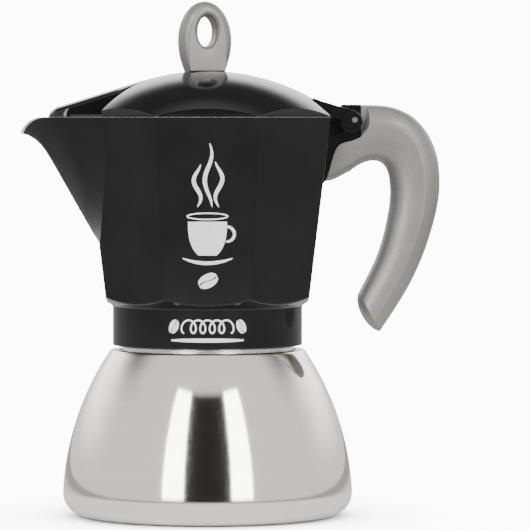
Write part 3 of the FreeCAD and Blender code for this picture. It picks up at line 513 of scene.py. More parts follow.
class MOKA_OT_boiler(bpy.types.Operator):
    """Build the polished bell and finish the pieces inside it"""
    bl_idname = "moka.boiler"
    bl_label = "Boiler"

    def execute(self, context):
        sizes = context.scene.moka_boiler
        wall = sizes.wall
        corner = (sizes.foot, sizes.corner)
        flank = polar(corner, sizes.corner - sizes.flank, FLANK_FOOT)
        bead = polar(flank, sizes.flank - sizes.bead, FLANK_TOP)
        outer = (arc(corner, sizes.corner, -90, FLANK_FOOT, 18)
                 + arc(flank, sizes.flank, FLANK_FOOT, FLANK_TOP, 60)[1:]
                 + arc(bead, sizes.bead, FLANK_TOP, BEAD_END, 18)[1:])
        inner = (arc(bead, sizes.bead - wall, BEAD_END, FLANK_TOP, 12)
                 + arc(flank, sizes.flank - wall, FLANK_TOP, FLANK_FOOT, 40)[1:]
                 + arc(corner, sizes.corner - wall, FLANK_FOOT, -90, 10)[1:])
        under = [(sizes.foot * share, 0.0) for share in (0, 0.3, 0.6, 0.85)]
        floor = [(sizes.foot * share, wall) for share in (0.6, 0.3, 0)]
        bell = lathe("polished_bell", under + outer + inner + floor, "boiler",
                     [polished_steel()], sizes.segments, 60)
        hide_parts("boiler_shell")
        for material, nodes in FINISHES.items():
            for node in nodes:
                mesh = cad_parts[node].data
                mesh.materials.clear()
                mesh.materials.append(material())
        return {"FINISHED"}


# ------------------------------------------------------------------ jug
SCALLOP_RISE = 0.66
FLARE_FOOT = 128 * MM
BORE_ROWS = 9
SPOUT_SIDE = 26.6 * MM


def octagon_reach(flat, corner, turn):
    """How far an octagon with rounded corners reaches from its centre at an angle."""
    off = abs((turn + SECTOR / 2) % SECTOR - SECTOR / 2)
    if math.tan(off) * flat <= (flat - corner) * math.tan(SECTOR / 2):
        return flat / math.cos(off)
    from_corner = SECTOR / 2 - off
    centre = (flat - corner) / math.cos(SECTOR / 2)
    return centre * math.cos(from_corner) + math.sqrt(corner ** 2 - (centre * math.sin(from_corner)) ** 2)


def facet_width(sizes, height):
    """Half the distance across the jug's flats at a height."""
    share = (height - sizes.facet_foot) / (sizes.rim - sizes.facet_foot)
    return mix(sizes.flat_foot, sizes.flat_rim, share)


def spout_share(sizes, height):
    """How far up the spout a height is, from the keel's foot to the rim."""
    return min(max((height - sizes.keel_height) / (sizes.rim - sizes.keel_height), 0.0), 1.0)


def spout_edge(sizes, share):
    """Where the spout's side leaves the slanted facet, as distances along and off the spout's line."""
    width = facet_width(sizes, mix(sizes.keel_height, sizes.rim, share))
    off = mix(width * math.tan(SECTOR / 2), SPOUT_SIDE, share)
    return width * math.sqrt(2) - off, off


def spout_wedge(sizes, height, turn):
    """How far the spout's side reaches at a height and an angle off its own line."""
    share = spout_share(sizes, height)
    along, off = spout_edge(sizes, share)
    point = mix(facet_width(sizes, sizes.keel_height), sizes.spout_reach, share)
    half = math.atan2(off, max(point - along, 0.0))
    bend = sizes.keel * min(1.0, 0.15 + 5 * share)
    point += bend * (1 / math.sin(half) - 1) * 0.25
    centre = point - bend / math.sin(half)
    touch = math.atan2(bend * math.cos(half), centre + bend * math.sin(half))
    if turn < touch:
        return centre * math.cos(turn) + math.sqrt(max(bend ** 2 - (centre * math.sin(turn)) ** 2, 0))
    return point * math.sin(half) / math.sin(half + turn)


def crossing(function, low, high):
    """Where a rising function passes zero."""
    for _ in range(40):
        middle = (low + high) / 2
        if function(middle) > 0:
            high = middle
        else:
            low = middle
    return (low + high) / 2


def jug_angles():
    """Angles for the jug's columns, closest where its shape turns fastest."""
    angles = []
    for index in range(FACETS):
        angles += [(index + 0.5) * 45 + step * 0.45 for step in range(-6, 7)]
        angles += [index * 45 + step * 2.6 for step in range(-7, 8)]
    angles += [180 + math.copysign(abs(step / 30) ** 1.35, step) * 10 for step in range(-30, 31)]
    angles += [180 + side * (10 + step * 0.7) for step in range(1, 42) for side in (-1, 1)]
    kept = []
    for angle in sorted(round(angle, 4) % 360 for angle in angles):
        if not kept or angle - kept[-1] > 0.12:
            kept.append(angle)
    return [math.radians(angle) for angle in kept]


def flare(sizes, share):
    """The keel's own curve near the lip, as (reach, height)."""
    points = [(56.3, 128.0), (58.6, 132.2), (61.5, 137.4), (67.7, 138.4)]
    scale = sizes.spout_tip / points[-1][0]
    weights = ((1 - share) ** 3, 3 * share * (1 - share) ** 2, 3 * share ** 2 * (1 - share), share ** 3)
    return (sum(weight * reach * scale for weight, (reach, _) in zip(weights, points)),
            sum(weight * height * MM for weight, (_, height) in zip(weights, points)))


def jug_column(sizes, turn):
    """One upright section of the jug, from the column's bore round to the column's top.

    The second value is the row where the outside's paint ends.
    """
    off = abs(math.pi - turn)
    rim, foot, wall = sizes.rim, sizes.facet_foot, sizes.wall
    keel_start = sizes.keel_height

    def octagon(height, inset=0.0):
        return octagon_reach(facet_width(sizes, height) - inset, max(sizes.corner - inset, 0.4 * MM), turn)

    def edge_angle(height):
        along, aside = spout_edge(sizes, spout_share(sizes, height))
        return math.atan2(aside, along)

    def reach(height):
        if height <= keel_start or off >= edge_angle(height):
            return octagon(height)
        return mix(octagon(height), spout_wedge(sizes, height, off), min((height - keel_start) / (2 * MM), 1))

    def outside(height):
        point = Vector((reach(height), height))
        if pull > 0.002 and height > FLARE_FOOT:
            return point.lerp(Vector(flare(sizes, (height - FLARE_FOOT) / (rim - FLARE_FOOT))), pull)
        return point

    pull = math.exp(-(off / math.radians(2.7)) ** 2)
    scallop = crossing(lambda height: sizes.collar + (height - foot) / SCALLOP_RISE - octagon(height),
                       foot, foot + 14 * MM)
    split = rim - 3 * MM
    on_spout = off < edge_angle(rim)
    if on_spout:
        split = crossing(lambda height: edge_angle(height) - off, keel_start + 0.02 * MM, rim)
    split = min(max(split, scallop + 4 * MM), rim - 3 * MM)

    under = mm((0, 121.5), (2, 121), (3, 119.5), (3, 78.1), (26, 76.7), (26, 76.2), (31.9, 76.2))
    under += [(31.9 * MM, sizes.collar_foot + 0.5 * MM), (32.4 * MM, sizes.collar_foot)]
    collar = rounded([(33 * MM, sizes.collar_foot), (sizes.collar, sizes.collar_foot),
                      (sizes.collar, foot), (octagon(scallop), scallop),
                      (octagon(scallop + 3 * MM), scallop + 3 * MM)],
                     (0, 0.5 * MM, 0.8 * MM, 0.8 * MM, 0), 5, False)
    heights = [mix(scallop + 3 * MM, split - 1.2 * MM, step / 6) for step in range(1, 7)]
    heights += [split + step * 0.3 * MM for step in range(-3, 5)]
    heights += [mix(split + 1.2 * MM, rim, step / 16) for step in range(1, 17)]
    outer = [outside(height) for height in heights]
    edge = outer[-1]
    along = (edge - outer[-2]).normalized()
    bare = 0.95 * MM * max(0.0, 1 - (off / math.radians(7.5)) ** 1.3) + 0.12 * MM
    rows = under + collar + outer[:-1]
    paint_row = len(rows)
    rows += [edge - along * bare, edge - along * 0.05 * MM, edge]

    slope = math.cos(min(off % SECTOR, SECTOR - off % SECTOR))
    if on_spout:
        slope = math.sin(math.atan2(SPOUT_SIDE, sizes.spout_reach - 36 * MM) + off)
    depth = mix(wall / slope, 1.1 * MM, pull)
    inside = []
    for index in range(len(outer) - 1, 6, -1):
        ahead = outer[min(index + 1, len(outer) - 1)] - outer[index - 1]
        inside.append(outer[index] + Vector((-ahead.y, ahead.x)).normalized() * depth)
    inside[0].y = min(inside[0].y, edge.y + 1.1 * MM * pull)
    for above, below in zip(inside, inside[1:]):
        below.y = min(below.y, above.y - 0.05 * MM)
    floor = 80.2 * MM
    low = [(octagon(height, wall), height) for height in (
        mix(inside[-1].y, floor + 2 * MM, share) for share in (0.25, 0.5, 0.75, 1))]
    base = rounded([low[-1], (octagon(floor, wall), floor)]
                   + [(14 * MM, floor), (10 * MM, floor), (7.9 * MM, 94 * MM)],
                   (0, 2 * MM, 0, 1.5 * MM, 0), 4, False)
    column = mm((6.6, 122), (6.3, 124), (5.3, 126), (3.2, 127), (0, 127))
    return rows + inside + low + base[1:] + column, paint_row


class MOKA_OT_jug(bpy.types.Operator):
    """Build the octagonal jug with its spout, collar, column and hinge lug"""
    bl_idname = "moka.jug"
    bl_label = "Jug"

    def execute(self, context):
        turns = jug_angles()
        columns = [jug_column(context.scene.moka_jug, turn) for turn in turns]
        paint_row = columns[0][1]
        if len({len(rows) for rows, _ in columns}) > 1:
            raise RuntimeError("the jug's columns differ in length")
        rings = [[(row[0] * math.cos(turn), row[0] * math.sin(turn), row[1])
                  for turn, row in zip(turns, level)]
                 for level in zip(*(rows for rows, _ in columns))]
        jug = skin("octagonal_jug", rings, "collector",
                   [black_lacquer(), bare_aluminium()], 32,
                   lambda row: int(row < BORE_ROWS or row >= paint_row))
        outlet = lathe("outlet_drill", mm((0, -20), (2, -20), (2, 20), (0, 20)), None,
                       [bare_aluminium()], 24)
        outlet.data.transform(Matrix.Translation((0, 0, 119 * MM)) @ Matrix.Rotation(math.pi / 2, 4, "X"))
        combine(jug, [outlet], "DIFFERENCE", 32)
        settle_normals(jug)
        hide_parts("collector")
        lug_outline = rounded(
            mm((40.6, 119.6), (41.4, 119.6), (42.7, 121.2), (43.2, 122.5), (45.1, 122.5), (45.1, 129.1),
               (55.4, 129.1), (55.4, 148.7), (48.2, 148.7), (48.2, 138.2), (42.6, 138.2)),
            [bend * MM for bend in (0, 0, 0, 0, 0.2, 0, 0.3, 0.4, 0.8, 1.5, 0)])
        web_outline = mm((42.8, 138), (48.4, 138), (48.4, 144.1), (42.8, 144.1))
        for name, outline, half, width in (("hinge_lug", lug_outline, 4 * MM, 0.3 * MM),
                                           ("hinge_web", web_outline, 2.2 * MM, 0.2 * MM)):
            block = prism(name, outline, -half, half, "XZ", [black_lacquer()], "collector")
            bevel(block, width)
        return {"FINISHED"}


# ------------------------------------------------------------------ pictures
INK = 0.06 * MM


def print_strokes(name, strokes, place):
    """Raised strokes of ink on the jug, each a line with its own width at every point."""
    points, faces = [], []
    for line, widths in strokes:
        first, last = len(points), len(line) - 1
        for index, (point, width) in enumerate(zip(line, widths)):
            ahead = (Vector(line[min(index + 1, last)]) - Vector(line[max(index - 1, 0)])).normalized()
            side = Vector((-ahead.y, ahead.x)) * width * MM / 2
            for corner in (Vector(point) * MM + side, Vector(point) * MM - side):
                points += [place(corner.x, corner.y, -INK), place(corner.x, corner.y, INK)]
        for here in range(first, first + 4 * last, 4):
            there = here + 4
            faces += [(here + 1, there + 1, there + 3, here + 3), (here, here + 2, there + 2, there),
                      (here, there, there + 1, here + 1), (here + 2, here + 3, there + 3, there + 2)]
        end = first + 4 * last
        faces += [(first, first + 1, first + 3, first + 2), (end, end + 2, end + 3, end + 1)]
    mesh_object(name, points, faces, "collector", [silver_print()])


def swelling(count, widest, tip):
    """Widths that grow from a fine tip to the widest and back."""
    return [widest * (tip + (1 - tip) * math.sin(math.pi * index / (count - 1)) ** 0.6)
            for index in range(count)]


def coffee_bean(across, up, long, degrees):
    """A bean as two strokes either side of a curved crease."""
    spin = Matrix.Rotation(math.radians(degrees), 2)
    strokes = []
    for side in (-1, 1):
        line, widths = [], []
        for step in range(-8, 9):
            height = step / 8
            crease = 0.09 * math.sin(math.pi * height) + side * 0.05
            edge = side * 0.6664 * math.sqrt(1 - height ** 2) + side * 0.02
            line.append(Vector((across, up)) + spin @ Vector(((crease + edge) / 2, height)) * long / 2)
            widths.append(max(abs(edge - crease), 0.03) * long / 2)
        strokes.append((line, widths))
    return strokes


def steaming_cup():
    """Three wisps of steam over a cup on its saucer, and a bean below."""
    strokes = []
    for across, top, phase in ((-3.6, 127.5, 0.0), (0.3, 135.0, 0.5), (4.0, 128.5, 1.0)):
        wisp = [(across + 1.25 * math.sin(math.pi * (2.4 * step / 32 + phase)), mix(112.5, top, step / 32))
                for step in range(33)]
        strokes.append((wisp, swelling(33, 1.5, 0.12)))
    bowl = [(0, 107.3 - 0.75 * step) for step in range(17)]
    strokes.append((bowl, [13.8 * math.sqrt(1 - (step / 17.5) ** 2.6) for step in range(17)]))
    brim = [(7.2 * math.cos(turn), 109.2 + 1.1 * math.sin(turn))
            for turn in (2 * math.pi * step / 40 for step in range(41))]
    strokes.append((brim, [0.5] * 41))
    ear = [(6.6 + 2.9 * math.sin(turn), 102.9 + 2.7 * math.cos(turn))
           for turn in (math.pi * step / 20 for step in range(21))]
    strokes.append((ear, swelling(21, 1.1, 0.6)))
    saucer = [(step * 0.74, 92.6 + 0.012 * step ** 2) for step in range(-12, 13)]
    strokes.append((saucer, swelling(25, 1.3, 0.2)))
    return strokes + coffee_bean(0.2, 86.3, 7.2, -62)


def heating_coil():
    """A coil between two beans, over a bar."""
    coil = [(-8.4 + 16.8 * share - 1.7 * math.sin(10 * math.pi * share),
             69.9 - 2.3 * math.cos(10 * math.pi * share)) for share in (step / 180 for step in range(181))]
    bar = [(step * 0.66, 65.0) for step in range(-20, 21)]
    return ([(coil, [0.62] * 181), (bar, swelling(41, 1.5, 0.3))]
            + coffee_bean(-12.2, 69.9, 5.0, -24) + coffee_bean(12.2, 69.9, 5.0, 24))


class MOKA_OT_pictures(bpy.types.Operator):
    """Print a steaming cup on the front facet and a coil with beans on the collar"""
    bl_idname = "moka.pictures"
    bl_label = "Pictures"

    def execute(self, context):
        sizes = context.scene.moka_jug
        slope = (sizes.flat_rim - sizes.flat_foot) / (sizes.rim - sizes.facet_foot)
        square = 1 / math.hypot(1, slope)

        def on_facet(across, up, out):
            return across, -facet_width(sizes, up) - out * square, up - out * slope * square

        def on_collar(across, up, out):
            turn = across / sizes.collar
            return (sizes.collar + out) * math.sin(turn), -(sizes.collar + out) * math.cos(turn), up

        print_strokes("cup_print", steaming_cup(), on_facet)
        print_strokes("coil_print", heating_coil(), on_collar)
        return {"FINISHED"}


# ------------------------------------------------------------------ lid
NOSE_START = -49.5 * MM
NOSE_ROUND = 4.4 * MM
LID_KNUCKLE = (mm((41, 144.2), (44.9, 144.2), (45.4, 143.9), (47.7, 143.6))
               + arc((51.8 * MM, 142.6 * MM), 4.15 * MM, 172, 428, 22)
               + mm((51.9, 147), (50.2, 147.4), (48, 147.9), (45, 148.8), (41, 150), (38.5, 150.9),
                    (36.5, 150.6)))


def dome_height(sizes, reach):
    """Height of the dome's surface at a distance from its axis."""
    return sizes.top - sizes.dome + math.sqrt(max(sizes.dome ** 2 - reach ** 2, 0))


def dome_solid(sizes, name, flat, drop, foot):
    """The dome over its octagon, filled down to a flat underside."""
    offsets = [-20.5] + list(range(-18, 19, 3)) + [20.5]
    offsets += [22.5 + offset for offset in (-1.4, -0.9, -0.45, 0, 0.45, 0.9, 1.4)]
    turns = sorted(index * SECTOR + math.radians(offset) for index in range(FACETS) for offset in offsets)
    columns = []
    for turn in turns:
        edge = octagon_reach(flat, 2.2 * MM, turn)
        high = max(dome_height(sizes, edge) - drop, foot + 0.15 * MM)
        top = [(edge * step / 28, dome_height(sizes, edge * step / 28) - drop) for step in range(28)]
        brow = (edge * 0.992, max(dome_height(sizes, edge * 0.992) - drop, high))
        side = rounded([brow, (edge, high), (edge, foot), (edge * 0.5, foot)],
                       (0, 0.35 * MM, 0.25 * MM, 0), 4, False)
        columns.append(top + side + [(0, foot)])
    rings = [[(row[0] * math.cos(turn), row[0] * math.sin(turn), row[1]) for turn, row in zip(turns, level)]
             for level in zip(*columns)]
    return skin(name, rings, None, [black_lacquer()], 32)


def ridge_solid(sizes, name, inset):
    """The round-topped bar over the spout, with its bull nose."""
    half = sizes.ridge - inset
    foot = sizes.foot - (2 * MM if inset else 0)
    stations = [(-16 - step * 1.9) * MM for step in range(18)] + [NOSE_START]
    stations += [NOSE_START - half * math.sin(math.radians(angle)) for angle in (*range(8, 90, 6), 89.2)]
    rings = []
    for place in stations:
        top = mix(157.6 * MM, 147.5 * MM, (-23 * MM - place) / (32.6 * MM)) - inset
        top = min(top, dome_height(sizes, place) + (-22 * MM - place) * 0.35 - inset)
        width = half
        if place < NOSE_START:
            past = min((NOSE_START - place) / half, 0.9999)
            width = half * math.sqrt(1 - past ** 2)
            end = max(0.0, (past * half - NOSE_ROUND) / (half - NOSE_ROUND))
            top -= 2.7 * MM * (1 - math.sqrt(1 - end ** 2))
        crown = 3.0 * MM * width / half
        ring = [(place, width * math.cos(angle),
                 max(top - crown + crown * math.sin(angle) ** 0.8, foot + 0.2 * MM))
                for angle in (math.pi * step / 12 for step in range(13))]
        rings.append(ring + [(place, -width, foot), (place, width, foot)])
    return skin(name, rings, None, [black_lacquer()])


def both_sides(name, outline, low, high):
    """Two upright blocks, one the mirror of the other across the spout's line."""
    return [prism(name, [(x, side * y) for x, y in outline], low, high, "XY", [black_lacquer()])
            for side in (-1, 1)]


class MOKA_OT_lid(bpy.types.Operator):
    """Build the domed lid, its ridge and its hinge knuckles"""
    bl_idname = "moka.lid"
    bl_label = "Lid"

    def execute(self, context):
        sizes = context.scene.moka_lid
        plate_top, high, low = sizes.foot + 0.9 * MM, sizes.top + 5 * MM, sizes.foot - 5 * MM
        lid = dome_solid(sizes, "domed_lid", sizes.flat, 0.0, sizes.foot)
        pocket = mm((-23.6, 7.2), (-37.7, 24.5), (-37.7, 34), (-70, 34), (-70, 7.2))
        beyond = mm((-37.7, 24.5), (-37.7, 40), (-70, 40), (-70, 7.6), (-50, 7.6))
        combine(lid, both_sides("pocket_cut", pocket, plate_top, high)
                + both_sides("point_cut", beyond, low, high), "DIFFERENCE", 32)
        plate = mm((-30, -22), (-37.7, -24.5), (-49.9, -7.7), (-49.9, 7.7), (-37.7, 24.5), (-30, 22))
        combine(lid, [prism("spout_plate", plate, sizes.foot, plate_top, "XY", [black_lacquer()]),
                      ridge_solid(sizes, "ridge", 0.0)], "UNION", 32)
        hollow = dome_solid(sizes, "hollow", sizes.flat - 3.2 * MM, sizes.wall, sizes.foot - 2 * MM)
        clip = mm((-20.6, 5.8), (-35.2, 23.5), (-35.2, 44), (-70, 44), (-70, 5.8))
        combine(hollow, both_sides("hollow_clip", clip, low, high), "DIFFERENCE")
        combine(lid, [hollow, ridge_solid(sizes, "ridge_hollow", 2 * MM)], "DIFFERENCE", 32)
        settle_normals(lid)
        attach(lid, "lid")
        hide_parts("lid")
        for name, side in (("knuckle_front", -1), ("knuckle_back", 1)):
            near, far = sorted((side * 4.3 * MM, side * 8.5 * MM))
            knuckle = prism(name, LID_KNUCKLE, near, far, "XZ", [black_lacquer()], "lid", 50)
            bevel(knuckle, 0.35 * MM, 50)
        return {"FINISHED"}


# ------------------------------------------------------------------ knob
EYE_HEIGHT, EYE_WIDE, EYE_TALL = 175 * MM, 3.4 * MM, 5.5 * MM
EGG_HEIGHT, EGG_WIDE, EGG_LOW = 172 * MM, 9.8 * MM, 16.1 * MM


def knob_section(sizes, turn):
    """The knob's section at an angle round its eye, as points in space."""
    across, up = math.cos(turn), math.sin(turn)
    foot, half = sizes.knob_foot, sizes.knob_half

    def beyond(reach):
        rise = EYE_HEIGHT + reach * up - EGG_HEIGHT
        tall = sizes.knob_top - EGG_HEIGHT if rise > 0 else EGG_LOW
        return (reach * across / EGG_WIDE) ** 2 + (rise / tall) ** 2 - 1

    outer = crossing(beyond, 0, 30 * MM)
    if up < 0:
        outer = min(outer, (EYE_HEIGHT - foot) / -up)
    inner = 1 / math.hypot(across / EYE_WIDE, up / EYE_TALL)
    flat = inner + 1.6 * MM
    bend = mix(0.9 * MM, 3.2 * MM, min(1, (EYE_HEIGHT + outer * up - foot) / (4 * MM)))
    edge = max(outer - bend, flat + 0.2 * MM)
    side = half * 0.985
    loop = [(inner + 0.1 * MM, 0.0), (inner, half * 0.55)]
    loop += [(inner + 0.9 * MM * share, mix(half * 0.6, half * 0.93, share ** 0.7))
             for share in (0.15, 0.4, 0.7, 1.0)]
    loop += [(flat, half), (edge, side)]
    loop += [(mix(edge, outer, math.sin(angle)), side * math.cos(angle))
             for angle in (math.radians(degrees) for degrees in (15, 30, 45, 60, 75, 84))]
    loop.append((outer, 0.0))
    loop += [(reach, -depth) for reach, depth in loop[-2:0:-1]]
    return [(reach * across, depth, EYE_HEIGHT + reach * up) for reach, depth in loop]


class MOKA_OT_knob(bpy.types.Operator):
    """Build the egg-shaped ring knob"""
    bl_idname = "moka.knob"
    bl_label = "Knob"

    def execute(self, context):
        sizes = context.scene.moka_grip
        toe_half = EGG_WIDE * math.sqrt(1 - ((sizes.knob_foot - EGG_HEIGHT) / EGG_LOW) ** 2)
        turns = [2 * math.pi * index / 96 for index in range(96)]
        for side in (-1, 1):
            toe = math.atan2(sizes.knob_foot - EYE_HEIGHT, side * toe_half) % (2 * math.pi)
            turns += [toe + offset for offset in (-0.02, -0.003, 0.003, 0.02)]
        rings = [knob_section(sizes, turn) for turn in sorted(turns)]
        steps, count = len(rings), len(rings[0])
        faces = [(row * count + column, row * count + (column + 1) % count,
                  (row + 1) % steps * count + (column + 1) % count, (row + 1) % steps * count + column)
                 for row in range(steps) for column in range(count)]
        place = Matrix.Translation((sizes.knob_x, 0, 0)) @ Matrix.Rotation(sizes.knob_twist, 4, "Z")
        points = [place @ Vector(point) for ring in rings for point in ring]
        knob = mesh_object("ring_knob", points, faces, "lid", [soft_grey()], None, 50)
        settle_normals(knob)
        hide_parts("knob")
        return {"FINISHED"}


# ------------------------------------------------------------------ handle
INNER_LINE = mm((36.5, 119.4), (41.5, 120.7), (45.8, 121.6), (50.9, 124.3), (55.6, 127.2), (59.6, 128.4),
                (62.9, 127.6), (65.2, 124.5), (66.1, 118.5), (65.9, 113), (65, 107.5), (63.4, 100.5),
                (61.2, 93.8), (59.1, 89.1), (57, 84.9), (54.9, 80.8))
OUTER_LINE = mm((46, 148.6), (51, 148.6), (56, 148.6), (61, 148.5), (65.8, 148), (70.6, 146.5),
                (75.4, 143.5), (80.2, 137.7), (83.4, 129.4), (84.2, 119.8), (83.3, 111.5), (80.8, 101.8),
                (77.6, 92.7), (73.2, 83.3), (68.1, 74.8), (62.6, 66.5))
HALF_SECTION = ((0.0, 0.0), (0.005, 0.18), (0.02, 0.36), (0.05, 0.53), (0.1, 0.68), (0.165, 0.79),
                (0.24, 0.872), (0.33, 0.93), (0.44, 0.97), (0.55, 0.992), (0.65, 1.0), (0.705, 0.996),
                (0.724, 0.978), (0.736, 0.948), (0.75, 0.94), (0.77, 0.925), (0.82, 0.865),
                (0.87, 0.79), (0.915, 0.7), (0.95, 0.58), (0.975, 0.43), (0.992, 0.23), (1.0, 0.0))
SECTION = HALF_SECTION + tuple((share, -width) for share, width in HALF_SECTION[-2:0:-1])
CHEEK_EDGE = mm((30, 108), (41.2, 119.4), (42.7, 120.9), (43.8, 124.3), (44.8, 128.2), (45.5, 130.6),
                (46.4, 132.8), (47.6, 134.2), (49.3, 135), (52.4, 135.7), (54.6, 136.7), (55.5, 137.2),
                (55.5, 156), (30, 156))
WEB_EDGE = mm((30, 122.4), (45.2, 122.4), (45.2, 129), (55.5, 129), (55.5, 156), (30, 156))
NOTCH_DEEP = mm((58.05, 156), (58.05, 148.4), (57.75, 146.4), (57.4, 144.5), (57.1, 142.9), (56.5, 141.2),
                (55.8, 139.9), (54.7, 138.6), (53.2, 138), (51.5, 137.9), (49, 138), (46, 138.5), (46, 156))
NOTCH_OPEN = mm((58.4, 156), (58.3, 148.4), (58.9, 146.6), (59.4, 144.6), (59.5, 142.7), (59.1, 140.8),
                (58.2, 139), (56.6, 137.4), (54.7, 136.3), (52, 135.8), (49, 136), (46, 136.5), (46, 156))
END_BULGE = 3.1 * MM


def grip_ring(near, far, half, keep=1.0, out=Vector((0, 0))):
    """The grip's section between its two lines, shrunk to a share about its centre and pushed out."""
    centre = (near + far) / 2
    ring = []
    for share, width in SECTION:
        point = centre + (near.lerp(far, share) - centre) * keep + out
        ring.append((point.x, width * half * keep, point.y))
    return ring


class MOKA_OT_handle(bpy.types.Operator):
    """Build the hooked handle with its cheeks and hinge notch"""
    bl_idname = "moka.handle"
    bl_label = "Handle"

    def execute(self, context):
        half = context.scene.moka_grip.handle_half
        inner, outer = spline(INNER_LINE), spline(OUTER_LINE)
        rings = [grip_ring(near, far, half) for near, far in zip(inner, outer)]
        near, far = inner[-1], outer[-1]
        along = (far - near).normalized()
        beyond = Vector((along.y, -along.x)) * END_BULGE
        rings += [grip_ring(near, far, half, keep, beyond * (1 - keep ** 2.2) ** 0.72)
                  for keep in (0.985, 0.95, 0.88, 0.78, 0.65, 0.5, 0.34, 0.17, 0.03)]
        grey = [soft_grey()]
        handle = skin("hooked_handle", rings, None, grey, 50)
        tools = [prism("cheek_cut", CHEEK_EDGE, -20 * MM, 20 * MM, "XZ", grey),
                 prism("web_cut", WEB_EDGE, -4.02 * MM, 4.02 * MM, "XZ", grey)]
        tools += [prism("notch_cut", NOTCH_DEEP, side * 4.15 * MM, side * 12 * MM, "XZ", grey,
                        far_outline=NOTCH_OPEN) for side in (-1, 1)]
        combine(handle, tools, "DIFFERENCE", 42)
        settle_normals(handle)
        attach(handle, "collector")
        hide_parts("handle")
        return {"FINISHED"}


# ------------------------------------------------------------------ studio
WHITE = 12.0
ROOM, LAMP, BACK_GLOW = 1.14, 11.0, 2.2
LAMP_TOP = 47


def window(tree, source, low, high, soft):
    """One between low and high, fading to nought over the soft width."""
    rise = ramp(tree, source, low - soft, low + soft, kind="SMOOTHSTEP")
    fall = ramp(tree, source, high - soft, high + soft, kind="SMOOTHSTEP")
    return maths(tree, "SUBTRACT", rise, fall)


def studio_floor():
    """White paper, kept white in the picture by a glow seen only by the camera, but for a painted shadow
    under the pot; its colour is painted darker away from the pot, so the pot reflects a darker floor.
    """
    tone = bpy.context.scene.moka_finish.floor
    material, tree, shader = plain_material("paper_with_painted_shade", tone, 0.0, 0.9)
    span = add_node(tree, "VectorMath", operation="LENGTH")
    tree.links.new(add_node(tree, "TexCoord").outputs["Object"], span.inputs[0])
    # Painted shade: the paper turns grey from 0.12 m to 0.4 m out from the pot, so the pot reflects a darker
    # floor.
    tree.links.new(tint(tree, span.outputs["Value"], tone, shade(tone, 0.27), 0.12, 0.4),
                   shader.inputs["Base Color"])
    # Painted shadow: the camera-only glow dims with occlusion under the pot.
    shadow = add_node(tree, "AmbientOcclusion", Distance=0.05, samples=8)
    seen = add_node(tree, "LightPath").outputs["Is Camera Ray"]
    glow = maths(tree, "MULTIPLY", maths(tree, "POWER", shadow.outputs["AO"], 2.0), seen)
    shader.inputs["Emission Color"].default_value = (1, 1, 1, 1)
    tree.links.new(maths(tree, "MULTIPLY", glow, WHITE - 0.8), shader.inputs["Emission Strength"])
    return material


def studio_world():
    """A light grey room with two tall soft lamps either side of a dark gap at the front."""
    world = bpy.data.worlds.new("studio")
    world.use_nodes = True
    tree = world.node_tree
    background = tree.nodes["Background"]
    parts = add_node(tree, "SeparateXYZ")
    tree.links.new(add_node(tree, "TexCoord").outputs["Generated"], parts.inputs[0])
    across, along, up = parts.outputs
    forward = maths(tree, "MULTIPLY", along, -1.0)
    turn = maths(tree, "DEGREES", maths(tree, "ABSOLUTE", maths(tree, "ARCTAN2", across, forward)))
    rise = maths(tree, "DEGREES", maths(tree, "ARCSINE", up))

    def patch(side, height):
        return maths(tree, "MULTIPLY", side, height)

    def darkened(light, area, share):
        return maths(tree, "MULTIPLY", light, maths(tree, "SUBTRACT", 1.0, patch(area, share)))

    lamps = patch(window(tree, turn, 19, 36, 0.8), window(tree, rise, 2, LAMP_TOP, 1.5))
    gap = patch(window(tree, turn, -9, 19, 0.8), window(tree, rise, -95, LAMP_TOP, 2.5))
    low_back = patch(ramp(tree, turn, 90, 150, kind="SMOOTHSTEP"), window(tree, rise, 10, 32, 8))
    dark_back = patch(ramp(tree, turn, 75, 115, kind="SMOOTHSTEP"), window(tree, rise, 34, 66, 10))
    light = maths(tree, "ADD", patch(lamps, LAMP), ROOM)
    light = maths(tree, "ADD", light, patch(low_back, BACK_GLOW))
    light = darkened(darkened(light, gap, 0.975), dark_back, 0.9)
    strength = add_node(tree, "Mix")
    strength.inputs[3].default_value = WHITE
    tree.links.new(add_node(tree, "LightPath").outputs["Is Camera Ray"], strength.inputs[0])
    tree.links.new(light, strength.inputs[2])
    tree.links.new(strength.outputs[0], background.inputs["Strength"])
    background.inputs["Color"].default_value = (1, 0.985, 0.965, 1)
    return world


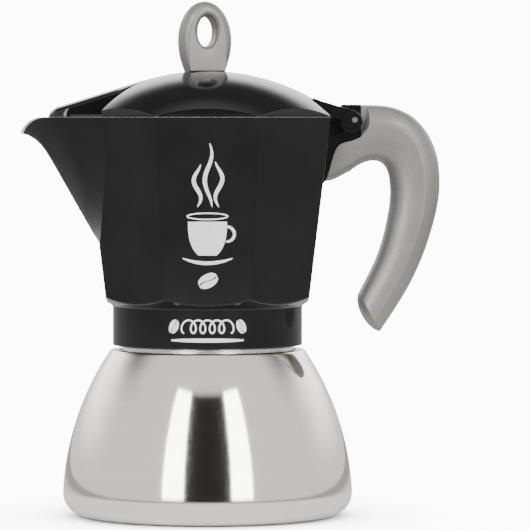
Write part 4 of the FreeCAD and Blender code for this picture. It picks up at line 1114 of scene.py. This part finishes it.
class MOKA_OT_studio(bpy.types.Operator):
    """Set the floor, the lights and the camera"""
    bl_idname = "moka.studio"
    bl_label = "Studio"

    def execute(self, context):
        scene = context.scene
        mesh = bpy.data.meshes.new("floor")
        mesh.from_pydata([(-30, -30, 0), (30, -30, 0), (30, 30, 0), (-30, 30, 0)], [], [(0, 1, 2, 3)])
        mesh.materials.append(studio_floor())
        floor = bpy.data.objects.new("floor", mesh)
        scene.collection.objects.link(floor)
        floor.location.z = -0.0002
        scene.world = studio_world()
        camera = bpy.data.cameras.new("camera")
        camera.lens, camera.sensor_width = 281.2, 36
        camera.clip_start, camera.clip_end = 0.05, 20
        viewer = bpy.data.objects.new("camera", camera)
        scene.collection.objects.link(viewer)
        viewer.location = (0, -1.5, 0.1442)
        viewer.rotation_euler = (math.radians(90 - 2.047), 0, math.radians(-0.796))
        scene.camera = viewer
        return {"FINISHED"}


# ------------------------------------------------------------------ panel
class MOKA_PT_panel(bpy.types.Panel):
    """The pieces and the studio"""
    bl_label = "Moka Pot"
    bl_idname = "MOKA_PT_panel"
    bl_space_type = "VIEW_3D"
    bl_region_type = "UI"
    bl_category = "Moka Pot"

    def draw(self, context):
        for operator in OPERATORS:
            self.layout.operator(operator.bl_idname)
        for name, group in SETTINGS.items():
            box = self.layout.box()
            for key in group.__annotations__:
                box.prop(getattr(context.scene, name), key)


SETTINGS = {"moka_boiler": MokaBoilerSettings, "moka_jug": MokaJugSettings, "moka_lid": MokaLidSettings,
            "moka_grip": MokaGripSettings, "moka_finish": MokaFinishSettings}
OPERATORS = (MOKA_OT_boiler, MOKA_OT_jug, MOKA_OT_pictures, MOKA_OT_lid, MOKA_OT_knob, MOKA_OT_handle,
             MOKA_OT_studio)


def register():
    for item in (*SETTINGS.values(), *OPERATORS, MOKA_PT_panel):
        bpy.utils.register_class(item)
    for name, group in SETTINGS.items():
        setattr(bpy.types.Scene, name, PointerProperty(type=group))


def unregister():
    for name in SETTINGS:
        delattr(bpy.types.Scene, name)
    for item in reversed((*SETTINGS.values(), *OPERATORS, MOKA_PT_panel)):
        bpy.utils.unregister_class(item)


def main():
    register()
    for operator in OPERATORS:
        family, name = operator.bl_idname.split(".")
        getattr(getattr(bpy.ops, family), name)()


if __name__ == "__main__":
    main()
